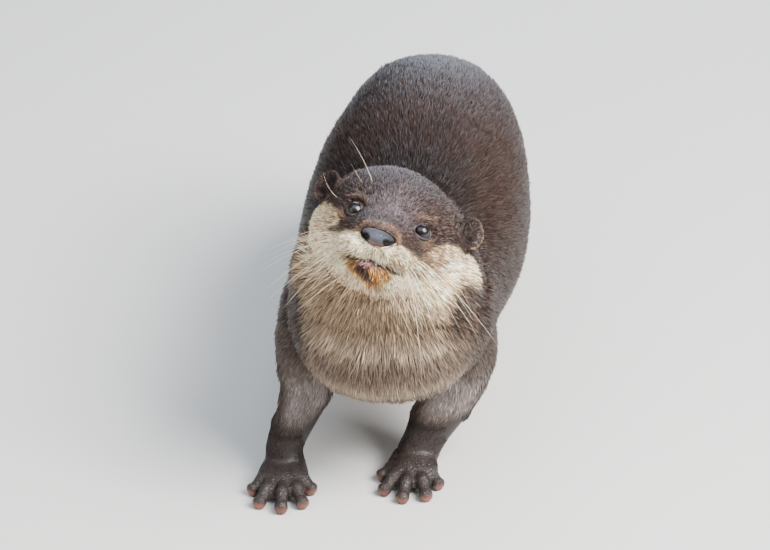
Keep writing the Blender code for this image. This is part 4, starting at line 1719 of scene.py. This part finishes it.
# ------------------------------------------------------------------ nose, eyes, nails and whiskers
@dataclass(frozen=True)
class Nose:
    """The bare pad: broad and low, with a groove down its middle and a nostril at either end."""

    half_width: float = 9.7
    half_height: float = 4.6
    half_depth: float = 5.6
    back: float = 1.2
    nostril: tuple[float, float] = (5.9, -1.2)
    nostril_radius: float = 2.2
    nostril_depth: float = 3.4

    def cover(self, head: Array) -> Array:
        """1 where the pad hides the skin, so that no hair grows through it.

        Args:
            head: Places in the head's frame.

        Returns:
            The share of each place.
        """
        f, s, u = head.T
        reach = np.hypot(s / (self.half_width - 0.2), (u - 0.2) / self.half_height)
        return ramp(1.12, 0.98, reach) * (f > -8)

    def opening(self, side: Array, up: Array) -> Array:
        """How deep in a nostril a place is: 1 in the round hole and in the slit that runs outward.

        Args:
            side: Distances to the head's left.
            up: Distances up from the nose.

        Returns:
            The depth at each place, from 0 to 1.
        """
        a = np.abs(side)
        across, above = self.nostril
        hole = ramp(1.25, 0.62, np.hypot(a - across, 1.1 * (up - above)) / self.nostril_radius)
        slit = bell(across + 2, 2, a) * bell(0, 1, up - above - 0.55 * (a - 6.4))
        return np.clip(np.maximum(hole, 1.1 * slit), 0.0, 1.0)

    def surface(self, around: int = 160, along: int = 110) -> Surface:
        """The pad as a cushion whose front is carved.

        A point at polar angle p and turn q from the forward axis lies on an ellipsoid whose lower
        half narrows to the lip.  It then goes back by the nostrils and the groove, and forward by
        a low rim round each nostril and a swell in the middle of the pad.

        Args:
            around: Points round the pad.
            along: Points from its front to its back.

        Returns:
            The closed pad in the animal's frame.
        """
        angle = np.linspace(0.02, np.pi - 0.03, along)[:, None]
        c, s = np.cos(full_turn(around))[None], np.sin(full_turn(around))[None]
        side = np.sign(c) * np.abs(c) ** 0.92 * np.sin(angle) ** 0.95 * self.half_width
        up = np.sign(s) * np.abs(s) ** 0.9 * np.sin(angle) ** 0.95 * self.half_height
        side = side * (1 - 0.42 * ramp(0, -4.6, up))
        away = np.hypot(np.abs(side) - self.nostril[0], up - self.nostril[1]) / self.nostril_radius
        rim = bell(1.35, 0.32, away) * ramp(10.5, 8, np.abs(side))
        groove = bell(0, 0.7, side) * ramp(0.5, -3, up)
        swell = bell(0, 4.2, side) * bell(1, 3.4, up)
        carved = 0.5 * rim + 0.35 * swell - self.nostril_depth * self.opening(side, up) - 0.5 * groove
        depth = np.cos(angle) * self.half_depth + ramp(-0.15, 0.2, np.cos(angle)) * carved
        return Surface.tube(HEAD.world(np.stack([depth - self.back, side, up], axis=-1)))

    def dress(self) -> None:
        """Put the pad in the scene in place of its solid, with how deep in a nostril each point is."""
        surface = self.surface()
        _, s, u = HEAD.local(surface.points).T
        colour = layered(Tone.NOSE, (
            # Painted highlight: blue-grey over the middle of the pad's upper half.
            (Tone.PAINTED_SHINE, bell(0, 5.2, s) * bell(0.9, 2.6, u)),
            (Tone.NOSE_PINK, 0.75 * (ramp(-1.6, -3.4, u) * bell(-0.5, 5, s)))))
        piece = smooth_piece("nose", surface, NoseFinish(), colour, {"nostril": self.opening(s, u)})
        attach(piece, "root")
        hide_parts("nose_pad")


NOSE = Nose()


@dataclass(frozen=True)
class Eyeball:
    """An eyeball with a slightly raised cornea, and the lids around it."""

    eye: Eye
    cornea: float = 0.25

    def surface(self) -> Surface:
        """A ball about the way the eye looks; its radius gains a bell over the cornea.

        Returns:
            The closed ball.
        """
        points, angle = ball(48, 64)
        radius = EYE_RADIUS + self.cornea * np.exp(-((angle / 0.62) ** 4))
        return Surface.tube(self.eye.world(points * radius[..., None]))

    def dress(self, skin: Skin) -> None:
        """Put ball and lids in the scene.

        Args:
            skin: The skin that the lids run into.
        """
        word = self.eye.side.name.lower()
        piece = smooth_piece(f"eyeball_{word}", self.surface(), EyeFinish())
        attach(piece, "root")
        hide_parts(f"eye_{word}")

        band = self.eye.lids(skin.surface)
        rho, turn = polar(self.eye.local(band.points))
        rho = rho - self.eye.opening(turn)
        colour = layered(Tone.LID, (
            # Painted reflection: a blue-grey shine along the lower lid's inner edge.
            (Tone.PAINTED_SHINE, 0.5 * ramp(0, -0.5, np.sin(turn)) * bell(0.4, 0.3, rho)),
            (Tone.LID_OUTSIDE, ramp(1, 2.4, rho))))
        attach(smooth_piece(f"lids_{word}", band, LidFinish(), colour), "root")


@dataclass(frozen=True)
class Nails:
    """The small blunt nails, one peg on top of each toe's tip."""

    length: float = 3.2
    width: float = 1.15
    height: float = 0.85
    tilt: float = 0.55
    along_toe: float = 1.02
    above_floor: float = 6.3

    def surface(self, limb: Limb) -> Surface:
        """Five pegs of one limb, each a ball stretched along its toe and tilted down a little.

        Args:
            limb: The limb.

        Returns:
            The pegs as one surface.
        """
        parts = []
        for root, way, length in limb.rays():
            along = unit(way - self.tilt * UP)
            across = unit(np.cross(along, UP))
            axes = np.array([across, np.cross(across, along), along])
            centre = root + way * length * self.along_toe + self.above_floor * UP
            parts.append(ellipsoid(centre, axes, (self.width, self.height, self.length / 2), 16))
        return Surface.join(parts)

    def dress(self) -> None:
        """Put one piece of nails on each pair of feet."""
        for name, limbs in (("nails_fore", LIMBS[:2]), ("nails_hind", LIMBS[2:])):
            surface = Surface.join([self.surface(limb) for limb in limbs])
            piece = smooth_piece(name, surface, NailFinish())
            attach(piece, "root")


@dataclass(frozen=True)
class Whisker:
    """One whisker in the head's frame: its root, the way it leaves, its droop, length and build."""

    root: Triple
    way: Triple
    droop: Triple
    length: float
    stout: float = 1.0


BROW_WHISKERS = (
    Whisker((-40.0, -10.5, 19.0), (-0.3, -0.5, 0.75), (-0.6, -0.3, -0.35), 46.0, 0.62),
    Whisker((-40.0, -12.5, 18.5), (-0.3, -0.8, 0.55), (-0.3, -0.1, 0.2), 24.0, 0.7),
    Whisker((-44.0, -29.0, 12.5), (0.0, -0.9, 0.1), (0.0, 0.4, 1.1), 20.0, 0.8),
    Whisker((-40.0, 13.0, 18.5), (-0.4, 0.5, 0.6), (-0.7, 0.1, -0.3), 15.0),
)


@dataclass
class Whiskers:
    """Long pale whiskers on the pads, the brows, the cheeks and the chin."""

    thickness: float = 0.21
    seed: int = 5
    rows: int = 4
    columns: int = 5
    points: int = 15
    sag: float = 0.45

    def on_pad(self, side: int, row: int, column: int, rng: np.random.Generator) -> Whisker:
        """One whisker of a pad's grid, longer towards the back and shorter towards the lip.

        Args:
            side: -1 for the right pad and 1 for the left.
            row: Its row, from the top.
            column: Its column, from the front.
            rng: The seeded source of chance.

        Returns:
            The whisker.
        """
        root = (-9.5 - 2.4 * column, side * (13.0 + 2.0 * column - 0.7 * row),
                -5.0 - 2.5 * row + 0.4 * column)
        jitter = rng.normal(0.0, 0.12, 3)
        way = np.array([-0.15 - 0.10 * column, side * (1.0 - 0.10 * row), -0.25 - 0.28 * row])
        length = (24.0 + 6.5 * column) * (1.0 - 0.11 * row) * rng.uniform(0.75, 1.3)
        return Whisker(root, tuple(way + jitter), (-0.55, 0.15 * side, -0.55 - 0.15 * row), length)

    def planned(self) -> list[Whisker]:
        """Rows of whiskers on both pads, then cheek, chin and brow whiskers.

        Returns:
            The whiskers.
        """
        rng = np.random.default_rng(self.seed)
        made = []
        for side in (-1, 1):
            made += [self.on_pad(side, row, column, rng)
                     for row in range(self.rows) for column in range(self.columns)]
            made += [Whisker((-44.0 - 3.0 * k, side * (36.0 + k), -6.0 - 5.0 * k), (-0.3, side * 0.9, -0.45),
                             (-0.7, 0.0, -0.5), 24.0 + 3.0 * k) for k in range(3)]
            for k in range(4):
                way = np.array([0.15, side * (0.25 + 0.25 * k), -1.0]) + rng.normal(0.0, 0.2, 3)
                made.append(Whisker((-16.0 - 2.5 * k, side * (3.0 + 3.6 * k), -22.5 + 0.4 * k),
                                    tuple(way), (-0.6, 0.0, -0.3), (18.0 + 5.0 * k) * rng.uniform(0.7, 1.3)))
        return made + list(BROW_WHISKERS)

    def surface(self) -> Surface:
        """Every whisker as a thin tube that narrows to its tip.

        The line is root + length * (way * t + droop * t * t * sag) for t from 0 to 1, and the
        radius falls as (1 - t)^0.8.

        Returns:
            The tubes as one surface.
        """
        plan = self.planned()
        roots, droops = np.array([w.root for w in plan]), np.array([w.droop for w in plan])
        ways = unit(np.array([w.way for w in plan]))
        lengths = np.array([w.length for w in plan])
        t = np.linspace(0.0, 1.0, self.points)
        lines = roots[:, None] + lengths[:, None, None] * (
            ways[:, None] * t[None, :, None] + self.sag * droops[:, None] * (t**2)[None, :, None])
        lines = HEAD.world(lines)
        along = unit(np.gradient(lines, axis=1))
        across = unit(np.cross(along, np.array([0.13, 0.31, 0.94])))
        stout = np.array([w.stout for w in plan]) * np.clip(lengths / 36.0, 0.4, 1.1)
        radius = self.thickness * (1.0 - 0.93 * t) ** 0.8 * stout[:, None]
        turn = full_turn(6)[:, None]
        ring = np.cos(turn) * across[:, :, None] + np.sin(turn) * np.cross(across, along)[:, :, None]
        rings = lines[:, :, None] + ring * radius[:, :, None, None]
        return Surface.join([Surface.tube(one[:, ::-1]) for one in rings])

    def dress(self) -> None:
        """Put the whiskers in the scene as one piece."""
        piece = smooth_piece("whiskers", self.surface(), WhiskerFinish())
        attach(piece, "root")


# ------------------------------------------------------------------ finishes
@dataclass(frozen=True)
class Net:
    """A tree of shader nodes, with short ways to add to it."""

    tree: bpy.types.NodeTree

    def feed(self, socket: Socket, value: object) -> None:
        """Link a socket to another one, or set its value.

        Args:
            socket: The socket that is fed.
            value: Another socket, or a value.
        """
        if isinstance(value, Socket):
            self.tree.links.new(value, socket)
        else:
            socket.default_value = value

    def node(self, kind: str, inputs: dict[str | int, object] | None = None,
             **settings: object) -> bpy.types.Node:
        """Add a node.

        Args:
            kind: Its type.
            inputs: For each of its inputs, a socket to link from or a value.
            settings: Its own settings.

        Returns:
            The node.
        """
        node = self.tree.nodes.new(kind)
        for key, value in settings.items():
            setattr(node, key, value)
        for key, value in (inputs or {}).items():
            self.feed(node.inputs[key], value)
        return node

    def attribute(self, name: str, output: str = "Fac") -> Socket:
        """One of the mesh's attributes."""
        return self.node("ShaderNodeAttribute", attribute_name=name).outputs[output]

    def port(self, name: str, kind: str, value: object = None) -> None:
        """Add an input with its default to a group, or an output where there is no value.

        Args:
            name: The socket's name.
            kind: Float, Color or Vector.
            value: Default of an input.
        """
        way = "OUTPUT" if value is None else "INPUT"
        socket = self.tree.interface.new_socket(name, in_out=way, socket_type=f"NodeSocket{kind}")
        if value is not None:
            socket.default_value = value

    def grain(self) -> None:
        """Fine uneven colour: Colour times 1 + Amount * (noise - 0.5), and the noise as a height."""
        self.port("Colour", "Color", (0.5, 0.5, 0.5, 1.0))
        self.port("Scale", "Float", 900.0)
        self.port("Amount", "Float", 0.15)
        self.port("Colour", "Color")
        self.port("Height", "Float")
        given = self.node("NodeGroupInput").outputs
        where = self.node("ShaderNodeTexCoord").outputs["Object"]
        noise = self.node("ShaderNodeTexNoise", {"Vector": where, "Scale": given["Scale"], "Detail": 3.0})
        noise = noise.outputs["Fac"]
        centred = self.node("ShaderNodeMath", {0: noise, 1: 0.5}, operation="SUBTRACT").outputs[0]
        factor = self.node("ShaderNodeMath", {0: centred, 1: given["Amount"], 2: 1.0},
                           operation="MULTIPLY_ADD").outputs[0]
        scaled = self.node("ShaderNodeVectorMath", {0: given["Colour"], "Scale": factor}, operation="SCALE")
        self.node("NodeGroupOutput", {"Colour": scaled.outputs[0], "Height": noise})

    def wrinkles(self) -> None:
        """Fine creases: the distance to the edges of small cells, as a height from 0 to 1."""
        self.port("Scale", "Float", 1100.0)
        self.port("Height", "Float")
        given = self.node("NodeGroupInput").outputs
        where = self.node("ShaderNodeTexCoord").outputs["Object"]
        cells = self.node("ShaderNodeTexVoronoi", {"Vector": where, "Scale": given["Scale"]},
                          feature="DISTANCE_TO_EDGE")
        spread = self.node("ShaderNodeMapRange", {"From Max": 0.25, "Value": cells.outputs["Distance"]})
        self.node("NodeGroupOutput", {"Height": spread.outputs["Result"]})


class Effect(Enum):
    """The shader groups that several finishes use."""

    GRAIN = "grain"
    WRINKLES = "wrinkles"

    def tree(self) -> bpy.types.NodeTree:
        """The group's nodes, made once.

        Returns:
            The group.
        """
        if self.value not in bpy.data.node_groups:
            net = Net(bpy.data.node_groups.new(self.value, "ShaderNodeTree"))
            net.grain() if self is Effect.GRAIN else net.wrinkles()
        return bpy.data.node_groups[self.value]


@dataclass(frozen=True)
class Finish:
    """A Principled material with plain values, whose colour passes through the grain group.

    Attributes:
        name: The material's name.
        roughness: The shader's roughness.
        coat: Its coat weight.
        specular: Its specular level.
        tone: One colour as 0 to 255, or nothing for the mesh's own markings.
        grain: How strong the grain is.
        grain_scale: How fine the grain is.
        wrinkle_scale: How fine the creases are.
        bump: How strong the relief is.
        bump_distance: How deep the relief is, in metres.
    """

    name: str = "finish"
    roughness: float = 0.6
    coat: float = 0.0
    specular: float = 0.5
    tone: Triple | None = None
    grain: float = 0.15
    grain_scale: float = 900.0
    wrinkle_scale: float = 1200.0
    bump: float = 0.0
    bump_distance: float = 0.0002

    def plain(self, net: Net) -> Socket | tuple[float, ...]:
        """The colour before the grain."""
        return net.attribute("markings", "Color") if self.tone is None else (*srgb(*self.tone), 1.0)

    def colour(self, net: Net) -> tuple[Socket, Socket]:
        """The colour and the grain's height.

        Args:
            net: The material's nodes.

        Returns:
            The two sockets.
        """
        inputs = {"Colour": self.plain(net), "Scale": self.grain_scale, "Amount": self.grain}
        grain = net.node("ShaderNodeGroup", inputs, node_tree=Effect.GRAIN.tree())
        return grain.outputs["Colour"], grain.outputs["Height"]

    def wrinkles(self, net: Net) -> Socket:
        """The creases' height.

        Args:
            net: The material's nodes.

        Returns:
            The height's socket.
        """
        inputs = {"Scale": self.wrinkle_scale}
        tree = Effect.WRINKLES.tree()
        return net.node("ShaderNodeGroup", inputs, node_tree=tree).outputs["Height"]

    def relief(self, net: Net, grain: Socket) -> Socket:
        """The height of the relief: the grain's, unless a finish says otherwise."""
        return grain

    @cache
    def material(self) -> bpy.types.Material:
        """The material, made once for all the pieces that it covers.

        Returns:
            The material.
        """
        material = bpy.data.materials.new(self.name)
        material.use_nodes = True
        net = Net(material.node_tree)
        colour, grain = self.colour(net)
        values = {"Base Color": colour, "Roughness": self.roughness, "Coat Weight": self.coat,
                  "Metallic": 0.0, "Specular IOR Level": self.specular}
        if self.bump:
            inputs = {"Strength": self.bump, "Distance": self.bump_distance,
                      "Height": self.relief(net, grain)}
            values["Normal"] = net.node("ShaderNodeBump", inputs).outputs["Normal"]
        shader = net.tree.nodes["Principled BSDF"]
        for name, value in values.items():
            net.feed(shader.inputs[name], value)
        return material


@dataclass(frozen=True)
class FurFinish(Finish):
    """Hair: its colours lie in the mesh, and it has a faint gloss."""

    name: str = "fur"
    roughness: float = 0.42
    specular: float = 0.16
    grain: float = 0.2


@dataclass(frozen=True)
class SkinFinish(Finish):
    """Skin: matt under the coat, creased and a little moist on the bare toes."""

    name: str = "skin"
    roughness: float = 0.5
    specular: float = 0.4
    grain: float = 0.2
    grain_scale: float = 700.0
    wrinkle_scale: float = 480.0
    bump: float = 0.6
    bump_distance: float = 0.00045

    def relief(self, net: Net, grain: Socket) -> Socket:
        """Creases where the skin is bare."""
        inputs = {0: self.wrinkles(net), 1: net.attribute("bare")}
        return net.node("ShaderNodeMath", inputs, operation="MULTIPLY").outputs[0]


@dataclass(frozen=True)
class LidFinish(Finish):
    """The bare rims of the eyelids."""

    name: str = "eyelid"
    roughness: float = 0.5
    grain: float = 0.1
    bump: float = 0.25
    bump_distance: float = 0.0001


@dataclass(frozen=True)
class NoseFinish(Finish):
    """Nose leather: dark and pebbled, with a painted blue-grey highlight in the middle, pink along its lower
    rim and painted black shade deep in the nostrils.
    """

    name: str = "nose_leather"
    roughness: float = 0.46
    coat: float = 0.06
    grain: float = 0.25
    bump: float = 0.9
    bump_distance: float = 0.0007

    def plain(self, net: Net) -> Socket:
        """The markings, with painted black shade deep in the nostrils.

        Args:
            net: The material's nodes.

        Returns:
            The colour's socket.
        """
        # Painted shade: near-black deep in each nostril.
        inputs = {"A": net.attribute("markings", "Color"), "B": (0.004, 0.003, 0.003, 1.0),
                  "Factor": net.attribute("nostril")}
        return net.node("ShaderNodeMix", inputs, data_type="RGBA").outputs["Result"]

    def relief(self, net: Net, grain: Socket) -> Socket:
        """Pebbles all over."""
        return self.wrinkles(net)


@dataclass(frozen=True)
class EyeFinish(Finish):
    """The eye's near-black gloss, which is the plain material that the frame brings."""

    name: str = "eye"

    def material(self) -> bpy.types.Material:
        """The frame's own material."""
        return bpy.data.materials[self.name]


@dataclass(frozen=True)
class NailFinish(Finish):
    """Small horn nails, grey-brown and translucent-looking."""

    name: str = "nail"
    roughness: float = 0.32
    tone: Triple | None = (136, 104, 92)
    grain: float = 0.2


@dataclass(frozen=True)
class WhiskerFinish(Finish):
    """Cream whiskers with a soft gloss."""

    name: str = "whisker"
    roughness: float = 0.35
    tone: Triple | None = (232, 218, 190)
    grain: float = 0.06


# ------------------------------------------------------------------ floor, light and camera
@dataclass(frozen=True)
class Lamp:
    """A square area light that faces the animal's middle: place in metres, colour, watts, edge."""

    name: str
    where: Triple
    colour: Triple
    watts: float
    size: float

    def build(self) -> None:
        """Make the light."""
        data = bpy.data.lights.new(self.name, "AREA")
        data.energy, data.size, data.color = self.watts, self.size, self.colour
        lamp = bpy.data.objects.new(self.name, data)
        lamp.location = self.where
        aim = Vector((0.0, -0.1, 0.1)) - Vector(self.where)
        lamp.rotation_euler = aim.to_track_quat("-Z", "Y").to_euler()
        bpy.context.scene.collection.objects.link(lamp)


@dataclass(frozen=True)
class Studio:
    """A pale floor, a main light from the front, a soft cool one above and a cool one behind."""

    floor: float = 8.0
    floor_colour: Triple = (0.62, 0.61, 0.59)
    floor_roughness: float = 0.85
    below: float = 0.0002
    air_colour: Triple = (0.84, 0.90, 1.0)
    air_strength: float = 0.30
    lamps: tuple[Lamp, ...] = (
        Lamp("key", (1.05, -0.92, 1.5), (1.0, 0.98, 0.95), 146.0, 1.1),
        Lamp("sky", (-0.35, -0.85, 2.2), (0.74, 0.87, 1.0), 36.0, 1.8),
        Lamp("fill", (-1.3, -1.0, 0.8), (1.0, 0.86, 0.70), 11.0, 1.2),
        Lamp("back", (0.3, 1.7, 0.75), (0.70, 0.82, 1.0), 30.0, 1.2),
    )

    def build(self) -> None:
        """Make floor, world and lights."""
        half = self.floor / 2
        grid = np.array([[x, y, -self.below] for x, y in ((-half, -half), (half, -half), (half, half),
                                                         (-half, half))])
        floor = link("floor", Surface(grid, [np.array([[0, 1, 2, 3]])]).mesh("floor"))
        material = bpy.data.materials.new("floor")
        material.use_nodes = True
        shader = material.node_tree.nodes["Principled BSDF"]
        shader.inputs["Base Color"].default_value = (*self.floor_colour, 1.0)
        shader.inputs["Roughness"].default_value = self.floor_roughness
        floor.data.materials.append(material)
        world = bpy.data.worlds.new("studio")
        world.use_nodes = True
        background = world.node_tree.nodes["Background"]
        background.inputs["Color"].default_value = (*self.air_colour, 1.0)
        background.inputs["Strength"].default_value = self.air_strength
        bpy.context.scene.world = world
        for lamp in self.lamps:
            lamp.build()


@dataclass(frozen=True)
class Camera:
    """A long lens that looks down at the raised face from in front."""

    target: Triple = (0.0, -40.0, 165.0)
    elevation: float = 30.0
    distance: float = 1.9
    lens: float = 159.9
    sensor: float = 36.0

    def build(self) -> None:
        """Make the camera and set it as the scene's."""
        data = bpy.data.cameras.new("camera")
        data.lens, data.sensor_width = self.lens, self.sensor
        camera = bpy.data.objects.new("camera", data)
        rise = math.radians(self.elevation)
        back = Vector((0.0, -math.cos(rise), math.sin(rise)))
        camera.location = Vector(place(np.array(self.target))) + back * self.distance
        camera.rotation_euler = (-back).to_track_quat("-Z", "Y").to_euler()
        bpy.context.scene.collection.objects.link(camera)
        bpy.context.scene.camera = camera


def main() -> None:
    """Build the otter piece by piece, then its floor, light and camera."""
    logging.basicConfig(level=logging.INFO, format="%(name)s: %(message)s")
    skin = Skin()
    skin.build()
    skin.dress()
    Coat(skin).dress()
    NOSE.dress()
    for eye in EYES:
        Eyeball(eye).dress(skin)
    Nails().dress()
    Whiskers().dress()
    Studio().build()
    Camera().build()


if __name__ == "__main__":
    main()
